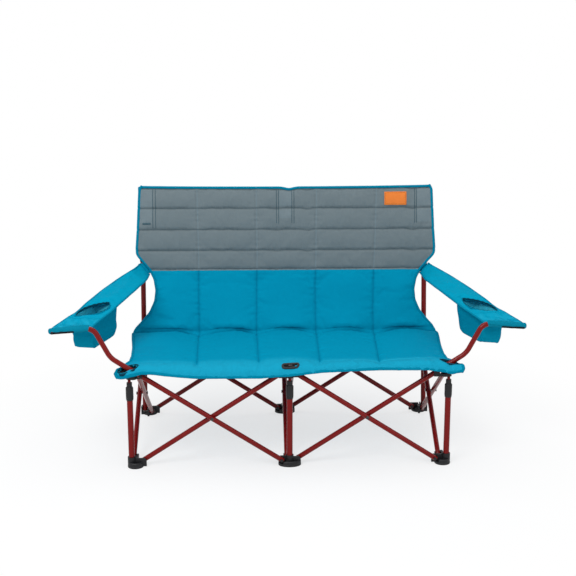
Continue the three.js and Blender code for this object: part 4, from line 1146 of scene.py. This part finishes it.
# %% Cut the sling into its three bodies
def quilt(name, r0, r1, materials, body, node):
    """The closed shell of rows r0 to r1 of the fine sling, with sharp outer edges."""
    rows = np.s_[r0 : r1 + 1]
    front, back = front_fine[rows], back_fine[rows]
    uv = np.stack([fine_X[rows], fine_S[rows]], axis=-1)
    edge = np.ones(front.shape[:2], dtype=bool)
    edge[1:-1, 1:-1] = False
    piece = shell(name, front, back, uv, materials, body, [node], keep_quads[r0:r1],
                  sharp=np.r_[edge.ravel(), edge.ravel()])
    # the back gets only the painted shade
    store_tint_and_painted_light(piece, tint[rows], np.minimum(tint[rows], 0))


H, P, E = 2 * ROW_HINGE, 2 * ROW_SEAT, len(fine_s) - 1
quilt("upper_back_quilt", 0, H, [grey_cloth, teal_cloth], "middle_back_post", "back_panel")
quilt("lower_back_quilt", H, P, [teal_cloth, teal_cloth], "lower_back", "lower_back")
quilt("seat_quilt", P, E, [teal_cloth, teal_cloth], "seat", "seat")


# %% [markdown]
# ## Bindings and rims
#
# A folded tape binds every free edge of the sling. It is a flat oval section that lies on the edge,
# with the cloth's normal as its up direction. The slots have dark rims of the same kind.


# %% Bind the edges
def edge_path(columns, rows):
    """Points and normals on the sling's middle surface along rows and columns."""
    front, back = front_fine[rows, columns], back_fine[rows, columns]
    return (front + back) / 2, front_normal[rows, columns]


for name, r0, r1, body in (("upper_back", 0, H, "middle_back_post"), ("lower_back", H, P, "lower_back"),
                           ("seat", P, E, "seat")):
    rows = np.arange(r0, r1 + 1)
    for side, column, neighbour in (("left", 0, 1), ("right", -1, -2)):
        path, normal = edge_path(np.full(len(rows), column), rows)
        path = path + unit(front_fine[rows, neighbour] - front_fine[rows, column]) * 0.0032
        sweep(f"{name}_{side}_binding", path, normal, 0.0050, 0.0046, binding_tape, body, 16, 0.6)

columns_all = np.arange(front_fine.shape[1])
path, normal = edge_path(columns_all, np.zeros(len(columns_all), dtype=int))
sweep("top_binding", path - np.array([0, 0, 0.0030]), normal, 0.0046, 0.0048, binding_tape,
      "middle_back_post", 16, 0.6)
path, normal = edge_path(columns_all, np.full(len(columns_all), E))
sweep("lip_binding", path + np.array([0, 0, 0.0025]), normal, 0.0050, 0.0030, binding_tape, "seat", 16,
      0.6)

# %% Rim the slots
BUTTON = (
    (0.0002, 0.0), (0.0040, 0.0), (0.0042, 0.0008), (0.0034, 0.0018), (0.0018, 0.0024), (0.0002, 0.0026)
)
LINING_DROP, EYE_DROP, LINING_THICK = 0.0055, 0.0010, 0.0012
# a level cut through an arm tube is an oval, and the hole in the dark shade sheet leaves room round it
ARM_ANGLE = math.atan2(HUB_Z - FOOT_Z, BAY - 2 * PIVOT_RUN)
HOLE_LONG, HOLE_WIDE = TUBE / math.sin(ARM_ANGLE) + 0.0015, 0.0095


def seat_height(plan):
    """Height of the seat's top nearest to places in plan."""
    kept = front_fine[fine_s > S_FRONT - 0.06].reshape(-1, 3)
    nearest = [int(np.argmin(((kept[:, :2] - spot) ** 2).sum(-1))) for spot in plan]
    return kept[nearest, 2]


def slot_outline(centre, half_length, radius, count=64):
    """Points round a slot with round ends."""
    angle = round_angles(count)
    shift = np.sign(np.cos(angle)) * (half_length - radius) * np.minimum(1, np.abs(np.cos(angle)) * 3)
    return np.stack([centre[0] + shift + radius * np.cos(angle), centre[1] + radius * np.sin(angle)], -1)


def dark_piece(name, rings, closed):
    """A flat dark piece of rings, mapped from above, at a slot of the seat."""
    points = np.array(rings).reshape(-1, 3)
    faces = ring_faces(len(rings), len(rings[0]), closed)
    make_piece(name, points, faces, dark_webbing, "seat", uv=points[:, :2])


under = np.array([0, 0, LINING_THICK])
for label, (centre, (half_length, radius)) in OPENINGS.items():
    flat = slot_outline(centre, half_length + 0.001, radius + 0.001)
    height = seat_height(flat)
    height = np.mean([np.roll(height, k) for k in range(-4, 5)], axis=0)
    ring = np.column_stack([flat, height - 0.0015])
    low = np.column_stack([flat, height - (EYE_DROP if label == "middle_eye" else LINING_DROP)])
    level = float(low[:, 2].mean())
    if label == "middle_eye":
        sweep(f"{label}_rim", ring, (0, -0.8, 1), 0.0040, 0.0036, black_plastic, "seat", 16, closed=True)
        dark_piece("middle_eye_back", [low, low - under], closed=False)
        turned("middle_eye_button", centre, [(r, z + level) for r, z in BUTTON], 1.9, dark_steel, "seat",
               40)
        continue
    sweep(f"{label}_rim", ring, (0, 0, 1), 0.0028, 0.0040, dark_elastic, "seat", 14, closed=True)
    side = -1 if label == "left_slot" else 1
    tube_x = side * (PIVOT_RUN + (level - FOOT_Z) / math.tan(ARM_ANGLE))
    angle = round_angles(len(low))
    hole = np.column_stack([tube_x + HOLE_LONG * np.cos(angle),
                            FRONT + side * LAYER + HOLE_WIDE * np.sin(angle), np.full(len(low), level)])
    # a dark sheet that stands in for the shade in the gap round the tube
    dark_piece(f"{label}_lining", [low, low - under, hole - under, hole], closed=True)

# %% [markdown]
# ## Stitches
#
# A seam shows as a row of short threads. One stitch is a spindle of a few faces, and numpy lays
# hundreds of copies along a line on the cloth, each turned to the line and lifted to its surface.


# %% Sew
def stitches(name, path, normal, material, body, pitch=0.0050, length=0.0034, thick=0.00042):
    """Spindles along a path. Each has four rings of six points, the outer two small."""
    along = np.r_[0, np.cumsum(np.linalg.norm(np.diff(path, axis=0), axis=1))]
    centres = np.arange(pitch / 2, along[-1], pitch)

    def at(places, values):
        """Values of the path's points, read at distances along it."""
        return np.stack([np.interp(places, along, values[:, k]) for k in range(3)], axis=-1)

    spot, up = at(centres, path), unit(at(centres, normal))
    way = unit(at(centres + 0.001, path) - at(centres - 0.001, path))
    side = np.cross(way, up)
    share = np.array([-0.5, -0.35, 0.35, 0.5])
    size = np.array([0.25, 1.0, 1.0, 0.25])[:, None]
    angle = np.arange(6) * np.pi / 3
    ring = (
        way[:, None, None, :] * (share * length)[None, :, None, None]
        + side[:, None, None, :] * (size * np.cos(angle) * thick)[None, :, :, None]
        + up[:, None, None, :] * (size * np.sin(angle) * thick + thick * 0.6)[None, :, :, None]
    )
    points = (spot[:, None, None, :] + ring).reshape(-1, 3)
    single = ring_faces(4, 6)
    faces = [[index + 24 * k for index in face] for k in range(len(centres)) for face in single]
    make_piece(name, points, faces, material, body, uv=points[:, :2])


def on_sling(x, s):
    """Points and normals of the front surface at places across and along the sling."""
    row = np.interp(s, fine_s, np.arange(len(fine_s)))
    low = np.clip(row.astype(int), 0, len(fine_s) - 2)
    part = (row - low)[:, None]
    result = []
    for grid in (front_fine, front_normal):
        lines = []
        for index in (low, low + 1):
            column = np.array([np.interp(a, fine_X[i], columns_all) for a, i in zip(x, index)])
            left = np.clip(column.astype(int), 0, len(columns_all) - 2)
            share = (column - left)[:, None]
            lines.append(grid[index, left] * (1 - share) + grid[index, left + 1] * share)
        result.append(lines[0] * (1 - part) + lines[1] * part)
    return result[0], unit(result[1])


LENGTHS = (
    # a run of the column seams: its first and last place along the sling, thread and body
    ("upper", 0.010, S_HINGE - 0.002, pale_thread, "middle_back_post"),
    ("lower", S_HINGE + 0.002, S_SEAT, teal_thread, "lower_back"),
    ("seat", S_SEAT, S_FRONT - 0.004, teal_thread, "seat"),
)
for border in (1, 2, 3, 4):
    for name, s0, s1, material, body in LENGTHS:
        s = np.linspace(s0, s1, 160)
        stitches(f"{name}_seam_{border}", *on_sling(seam_x(s)[:, border], s), material, body)
for number, value in enumerate(SEAM_ROWS):
    here = np.array([value])
    edge = float(half_width(here)[0]) - 0.009
    x = np.linspace(-edge, edge, 400) + float(lean(here)[0])
    path, normal = on_sling(x, value - 0.0009 * ripples(x, 0 * x, 0.05, 14))
    stitches(f"cross_seam_{number}", path, normal, seam_thread, "middle_back_post")

# %% [markdown]
# The posts slip into pockets behind the top of the back. From the front only their stitching shows,
# as pairs of lines below the top binding. From behind, each pocket is a narrow sleeve of cloth that
# is closed at the top.

# %% Sew the post pockets
# the two lines of each pair, across the chair, and where they end along the sling
POCKET_LINES = {
    "left": ((-0.4685, -0.4585), 0.150), "right": ((0.470, 0.4765), 0.135),
    "middle_left": ((-0.027, -0.019), 0.135), "middle_right": ((0.028, 0.036), 0.135),
}
POCKET_LOW, POCKET_TOP, MIDDLE_POCKET_TOP = 0.676, 0.8125, 0.8065
LEVELS, ACROSS = 26, 15

for name, (pair, last) in POCKET_LINES.items():
    for number, x in enumerate(pair):
        path, normal = on_sling(np.full(60, x), np.linspace(0.010, last, 60))
        sweep(f"pocket_line_{name}_{number}", path, normal, 0.0010, 0.0011, seam_thread,
              "middle_back_post", 8)
path, normal = on_sling(np.linspace(-0.505, -0.477, 12), np.full(12, 0.1345))
sweep("left_pocket_tack", path, normal, 0.0036, 0.0014, seam_thread, "middle_back_post", 12)

for name, sign in COLUMNS:
    x, body = sign * POST_X, f"{name}_back_post"
    z = np.linspace(POCKET_LOW, POCKET_TOP if sign else MIDDLE_POCKET_TOP, LEVELS)
    path = np.column_stack([np.full(LEVELS, x), post_y(z), z])
    wide = 0.0116 + 0.0004 * ripples(z, 0 * z, 0.03, 20 + sign)
    sweep(f"{name}_post_pocket", path, (0, 1, POST_SLOPE), wide, 0.0120, teal_cloth, body, 28, 0.2)
    flap = []
    for u in np.linspace(-1, 1, ACROSS):
        depth = post_y(z) - 0.0085 + 0.016 * (1 - abs(u)) ** 1.2
        flap.append(np.column_stack([np.full(LEVELS, x + u * 0.019 - sign * 0.006), depth, z]))
    flap = np.array(flap)
    uv = np.stack(np.meshgrid(z, np.linspace(0, 0.052, ACROSS)), axis=-1)
    shell(f"{name}_pocket_flap", flap, flap + np.array([0, 0.0012, 0]), uv, teal_cloth, body, flip=True)

# %% [markdown]
# A small patch of orange cloth is sewn to the top right of the back. Its face is bare. It lies on
# the quilting, so its points are read from the cloth's own surface, and dark stitches run round
# its border.

# %% Sew on the patch
PATCH_X, PATCH_S = (0.361, 0.440), (0.0225, 0.0710)
PATCH_LIFT, PATCH_UNDER = 0.0016, -0.0006
PATCH_BORDER = (np.s_[2, 2:-2], np.s_[2:-2, -3], np.s_[-3, 2:-2], np.s_[2:-2, 2])

px, ps = np.meshgrid(np.linspace(*PATCH_X, 40), np.linspace(*PATCH_S, 26))
smooth, patch_normal = (values.reshape(px.shape + (3,)) for values in on_sling(px.ravel(), ps.ravel()))
for _ in range(6):
    smooth[1:-1] = (smooth[:-2] + smooth[2:] + 2 * smooth[1:-1]) / 4
    smooth[:, 1:-1] = (smooth[:, :-2] + smooth[:, 2:] + 2 * smooth[:, 1:-1]) / 4
top_side, under_side = smooth + patch_normal * PATCH_LIFT, smooth + patch_normal * PATCH_UNDER
shell("orange_patch", top_side, under_side, np.stack([px, ps], axis=-1), patch_cloth, "middle_back_post")
for number, line_of in enumerate(PATCH_BORDER):
    stitches(f"patch_stitches_{number}", top_side[line_of], patch_normal[line_of], dark_thread,
             "middle_back_post", 0.0036, 0.0024, 0.00035)

# %% [markdown]
# ## Armrests
#
# Each armrest is a long strip of padded cloth. At the front its hem holds the level end of the arm
# tube, and at the back a loop goes round the post. The strip is a grid between an inner and an outer
# edge, lightly crowned, and sags between its two ends. The cup's opening is a pointed oval.

# %% Measure the armrests
ARM_TABLE = np.array([
    # behind the hem, inner edge, outer edge
    (0.000, 0.616, 0.7390), (0.030, 0.611, 0.7310), (0.065, 0.600, 0.7140), (0.105, 0.586, 0.6975),
    (0.141, 0.573, 0.6850), (0.190, 0.559, 0.6695), (0.236, 0.545, 0.6550), (0.336, 0.514, 0.6225),
    (0.442, 0.4925, 0.5790), (0.500, 0.4900, 0.5500), (0.545, 0.4900, 0.5260), (0.580, 0.4900, 0.5170),
])
HEM_Z, REAR_Z, ARM_LENGTH = 0.4537, 0.541, 0.589
# the cup opening: its place outside the column and behind the hem, turn, and half sizes
CUP_INSET, CUP_AHEAD, CUP_TURN = 0.141, 0.172, math.radians(38)
LENS, NEAR_SIDE = (0.075, 0.031), 1.4


def armrest_edges(t):
    """Inner and outer edge of the armrest, as distances from the chair's middle."""
    soften = np.linspace(-0.02, 0.02, 9)
    t = np.clip(t[..., None] + soften, 0, 0.580)
    return tuple(np.interp(t, ARM_TABLE[:, 0], ARM_TABLE[:, k]).mean(-1) for k in (1, 2))


def armrest_height(t, share=0.5):
    """Height of the armrest: a straight rise to the post with a shallow sag.

    Towards the post the strip turns on edge: its inner edge, at share 0, sinks and the outer one rises.
    """
    sag = 0.004 * np.sin(np.pi * np.clip(t / ARM_LENGTH, 0, 1))
    turn = ramp(t - 0.30, 0.27, 1.6)
    tip = np.clip(1 - t / 0.09, 0, 1) * ramp(share - 0.55, 0.45)
    return HEM_Z + (REAR_Z - HEM_Z) * t / ARM_LENGTH - sag + turn * (0.036 * share - 0.034) - 0.003 * tip


def from_opening(along, across):
    """Distance from the chair's middle and behind the hem, from a place in the cup opening."""
    x = BAY + CUP_INSET - along * math.sin(CUP_TURN) + across * math.cos(CUP_TURN)
    t = CUP_AHEAD + along * math.cos(CUP_TURN) + across * math.sin(CUP_TURN)
    return x, t


def to_opening(x, t):
    """A place along and across the cup opening, and the opening's half width there."""
    u, v = x - (BAY + CUP_INSET), t - CUP_AHEAD
    along = -u * math.sin(CUP_TURN) + v * math.cos(CUP_TURN)
    across = u * math.cos(CUP_TURN) + v * math.sin(CUP_TURN)
    room = LENS[1] * np.clip(1 - (along / LENS[0]) ** 2, 0, 1) ** 0.8
    return along, across, room * np.where(across < 0, NEAR_SIDE, 1.0)


print("armrests rise from", HEM_Z, "m at the hem to", REAR_Z, "m at the post")


# %% Shape the armrest pads
def armrest_pad(name, sign):
    """The armrest's padded strip with its opening, its stitches and its bound edges."""
    rows, columns = 250, 60
    body, seed = f"{name}_armrest", 30 + sign
    t = np.linspace(0.004, 0.568 - sign * LAYER, rows)[:, None] * np.ones(columns)
    share = np.linspace(0, 1, columns)[None, :] * np.ones((rows, 1))
    inner, outer = armrest_edges(t)
    inner = inner + sign * 0.0035 * ramp(t - 0.42, 0.08)
    x = inner + (outer - inner) * share
    along, across, room = to_opening(x, t)
    inside = (np.abs(across) < room) & (np.abs(along) < LENS[0])
    crown = np.sin(np.pi * share) ** 0.6
    band = ramp(0.095 - t, 0.02)
    wrinkle = 0.0011 * ripples(x, t, 0.05, seed) + 0.0016 * ripples(0.4 * x, t, 0.11, seed + 2)
    wrinkle += 0.0011 * band * ripples(x, 0.35 * t, 0.020, seed + 4, 7)
    height = armrest_height(t, share) + wrinkle * np.sin(np.pi * share) ** 0.4
    near = np.abs(along) < LENS[0] + 0.01
    height -= 0.0042 * bell(np.maximum(np.abs(across) - room, 0), 0.014) * near
    border = inside & (np.abs(across) > room - 0.0036)
    edge_x, edge_t = from_opening(along, np.sign(across) * room)
    x, t = np.where(border, edge_x, x), np.where(border, edge_t, t)
    y = FRONT + sign * LAYER + t
    top = np.stack([sign * x, y, height + 0.0012 + 0.0042 * crown], axis=-1)
    low = np.stack([sign * x, y, height - 0.0012 - 0.0030 * crown], axis=-1)
    piece = shell(f"{name}_armrest_pad", top, low, np.stack([x, t], axis=-1), armrest_cloth, body, [body],
                  corners_in(inside) < 4, flip=sign > 0)
    light = 0.28 * band * (0.6 + 0.4 * ripples(x, t, 0.03, seed + 6))
    store_tint_and_painted_light(piece, light, light)
    for number, row in enumerate((8, 13, 38)):
        path = top[row, 3:-3]
        stitches(f"{name}_armrest_stitches_{number}", path, (0, 0, 1) + 0 * path, teal_thread, body)
    for edge, column in (("inner", 0), ("outer", -1)):
        sweep(f"{name}_armrest_{edge}_binding", (top[:, column] + low[:, column]) / 2, (0, 0, 1), 0.0040,
              0.0028, binding_tape, body, 14, 0.6)


for name, sign in SIDES:
    armrest_pad(name, sign)

# %% Rim the cup openings and hem the front
RIM_POINTS, HEM_POINTS, GATHERS = 90, 60, 23


def rim_ring(sign, grow):
    """Points round the cup opening on the armrest's surface."""
    angle = round_angles(RIM_POINTS)
    along = (LENS[0] + grow) * np.cos(angle)
    across = (LENS[1] + grow) * np.sin(angle) * np.abs(np.sin(angle)) ** 0.6
    x, t = from_opening(along, np.where(across < 0, NEAR_SIDE, 1.0) * across)
    return np.column_stack([sign * x, FRONT + sign * LAYER + t, armrest_height(t)])


for name, sign in SIDES:
    gather = 0.0009 * np.sin(np.arange(RIM_POINTS) * 2 * np.pi * GATHERS / RIM_POINTS)
    ring = rim_ring(sign, 0.0)
    ring[:, 2] += gather - 0.0002
    sweep(f"{name}_cup_rim", ring, (0, 0, 1), 0.0026, 0.0028, binding_tape, f"{name}_armrest", 14,
          closed=True)
    ring = rim_ring(sign, -0.0030)
    ring[:, 2] += gather
    sweep(f"{name}_cup_seam", ring, (0, 0, 1), 0.0011, 0.0022, dark_elastic, f"{name}_armrest", 10,
          closed=True)
    _, _, second, tip = arm_corners(sign)
    grip = unit(tip - second)
    path = np.linspace(second + grip * 0.016, tip + grip * 0.004, HEM_POINTS)
    x = np.abs(path[:, 0])
    puffed = 0.0102 + 0.0005 * ripples(x, 0 * x, 0.022, 50 + sign, 6)
    puffed *= np.interp(np.linspace(0, 1, HEM_POINTS), (0, 0.45, 1), (1, 1, 0.85))
    lift = np.linspace((0, 0.0005, 0.0012), (0, 0.0005, 0.0006), HEM_POINTS)
    sweep(f"{name}_front_hem", path + lift, (0, 0, 1), puffed, puffed + 0.0006, hem_cloth,
          f"{name}_arm", 28, 0.6)
    strip = path[22:-2] + np.array([0, -0.0066, -0.0046])
    sweep(f"{name}_hem_strip", strip, (0, 0.35, 1), 0.0040, 0.0036, dark_webbing, f"{name}_arm", 14, 0.5)

# %% [markdown]
# At its back end each armrest is sewn round the post. A black strap holds it there, so a short
# band of cloth goes round the tube, with the strap above it.

# %% Loop the armrests round the posts
LOOP_Z, TAB_Z, STRAP_Z, LOOP_RADIUS = 0.5270, 0.5265, 0.5520, 0.0102


def post_ring(sign, z, count=48):
    """A level ring of points round a corner post, just outside its tube."""
    angle = round_angles(count)
    x = sign * POST_X + LOOP_RADIUS * np.cos(angle)
    return np.column_stack([x, post_y(z) + LOOP_RADIUS * np.sin(angle), np.full(count, z)])


for name, sign in SIDES:
    body = f"{name}_back_post"
    sweep(f"{name}_post_loop", post_ring(sign, LOOP_Z), (0, 0, 1), 0.0009, 0.0170, armrest_cloth, body,
          20, closed=True)
    tab_y = post_y(TAB_Z) - 0.0116
    tab = np.linspace((sign * 0.466, tab_y, TAB_Z), (sign * 0.512, tab_y, TAB_Z), 12)
    sweep(f"{name}_post_tab", tab, (0, POST_SLOPE, 1), 0.0012, 0.0180, armrest_cloth, body)
    sweep(f"{name}_post_strap", post_ring(sign, STRAP_Z), (0, 0, 1), 0.0009, 0.0045, dark_webbing, body,
          16, closed=True)

# %% [markdown]
# ## Cup pouches
#
# A pouch hangs below each opening: a soft box with rounded corners, drawn in a little towards its
# floor. One loft makes it whole. The rings go from the middle of the inner floor up the inner wall,
# over the rim, down the outer wall and across the outer floor.

# %% Hang the pouches
POUCH_AHEAD, POUCH_TURN = 0.160, math.radians(22)
POUCH_HALF_X, POUCH_HALF_Y, POUCH_WALL, POUCH_POINTS = 0.0430, 0.0775, 0.0022, 112
# each pouch's place outside the column, floor height, narrowing and slant of its floor
POUCH_FORM = {-1: (0.136, 0.3730, 0.10, 0.050), 1: (0.141, 0.3700, 0.17, 0.160)}


def superellipse(half_x, half_y, power=9.0):
    """A rounded rectangle: x = a cos|cos|^(2/p - 1), y = b sin|sin|^(2/p - 1)."""
    angle = (np.arange(POUCH_POINTS) + 0.5) * 2 * np.pi / POUCH_POINTS
    return tuple(
        half * np.sign(wave) * np.abs(wave) ** (2 / power)
        for half, wave in ((half_x, np.cos(angle)), (half_y, np.sin(angle)))
    )


def pouch_ring(sign, scale, share, inset, layer):
    """One ring of a pouch, at a share of the way from its floor to the armrest."""
    place, floor_z, _, slant = POUCH_FORM[sign]
    a, b = superellipse(POUCH_HALF_X * scale - inset, POUCH_HALF_Y * scale - inset)
    a, b = a * (1 + 0.08 * share**3 * (a > 0)), b * (1 + 0.11 * share**3 * (b > 0))
    angle = round_angles(POUCH_POINTS)
    fold = 0.0016 * np.sin(3 * angle + 5 * share + sign) * np.sin(np.pi * np.clip(share, 0, 1))
    fold += 0.0020 * np.abs(np.sin(4.5 * angle + 1.3 * share)) ** 3 * np.clip(share, 0, 1)
    fold += 0.0013 * ripples(angle * 0.05, np.full(POUCH_POINTS, share * 0.09), 0.045, 60 + sign)
    stretch = 1 + fold * scale / np.maximum(np.hypot(a, b), 0.01)
    a, b = a * stretch, b * stretch
    x = BAY + place + a * math.cos(POUCH_TURN) - b * math.sin(POUCH_TURN)
    t = POUCH_AHEAD + a * math.sin(POUCH_TURN) + b * math.cos(POUCH_TURN)
    top = armrest_height(t) - 0.0042
    droop = 0.060 * b - slant * a + 0.0014 * np.sin(3 * angle + sign)
    z = floor_z + layer + share * (top - floor_z - layer) + droop * (1 - share)
    return np.column_stack([sign * x, FRONT + sign * LAYER + t, z])


for name, sign in SIDES:
    narrow, wall = POUCH_FORM[sign][2], POUCH_WALL
    climb = np.linspace(0, 1, 34)
    size = 1 - narrow + narrow * np.sin(climb * np.pi / 2) ** 0.7
    size *= np.where(climb < 0.06, 0.96 + 0.04 * np.sqrt(climb / 0.06), 1.0)
    floor_share = np.linspace(0.02, 0.97, 12)
    rings = [pouch_ring(sign, size[0] * part, 0.0, wall * part, wall) for part in floor_share]
    rings += [pouch_ring(sign, s, part, wall, wall * (1 - part)) for part, s in zip(climb, size)]
    rings += [pouch_ring(sign, s, part, 0.0, 0.0) for part, s in zip(climb[::-1], size[::-1])]
    rings += [pouch_ring(sign, size[0] * part, 0.0, 0.0, 0.0) for part in floor_share[::-1]]
    rings = np.array(rings)
    faces = [face[:: -1 if sign < 0 else 1] for face in ring_faces(len(rings), POUCH_POINTS)]
    around = np.arange(POUCH_POINTS) * 0.19 / POUCH_POINTS
    along = np.r_[0, np.cumsum(np.linalg.norm(np.diff(rings, axis=0), axis=-1).mean(-1))]
    uv = np.stack(np.meshgrid(around, along), axis=-1).reshape(-1, 2)
    inner = len(rings) // 2
    zones = np.repeat((1, 0, 1, 0), (inner * POUCH_POINTS, (len(rings) - 1 - inner) * POUCH_POINTS, 1, 1))
    make_piece(f"{name}_pouch", rings.reshape(-1, 3), faces, [pouch_cloth, pouch_lining],
               f"{name}_armrest", [f"{name}_cup_pouch"], uv, zones)

# %% [markdown]
# ## Folding
#
# When the frame gathers, the real cloth crumples between the columns. Here each soft piece of the sling
# and of the armrests only gets a copy of its mesh; the middle post's stiff pieces are left as they are.

# %% Copy the cloth pieces' meshes
STIFF = ("middle_post_tube", "middle_post_pocket", "middle_pocket_flap")
# each armrest's direction from the post to its front, and what is left of its length
ALONG_ARM = {-1: ((-0.2625, -0.9546, -0.1409), 0.502), 1: ((0.2696, -0.9521, -0.1447), 0.499)}

for body in ("middle_back_post", "lower_back", "seat"):
    for piece in by_body[body]:
        if piece.name not in STIFF:
            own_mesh(piece)
for name, sign in SIDES:
    along, kept = ALONG_ARM[sign]
    for piece in by_body[f"{name}_armrest"]:
        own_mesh(piece)
print("pieces by body:", {body: len(pieces) for body, pieces in sorted(by_body.items())})
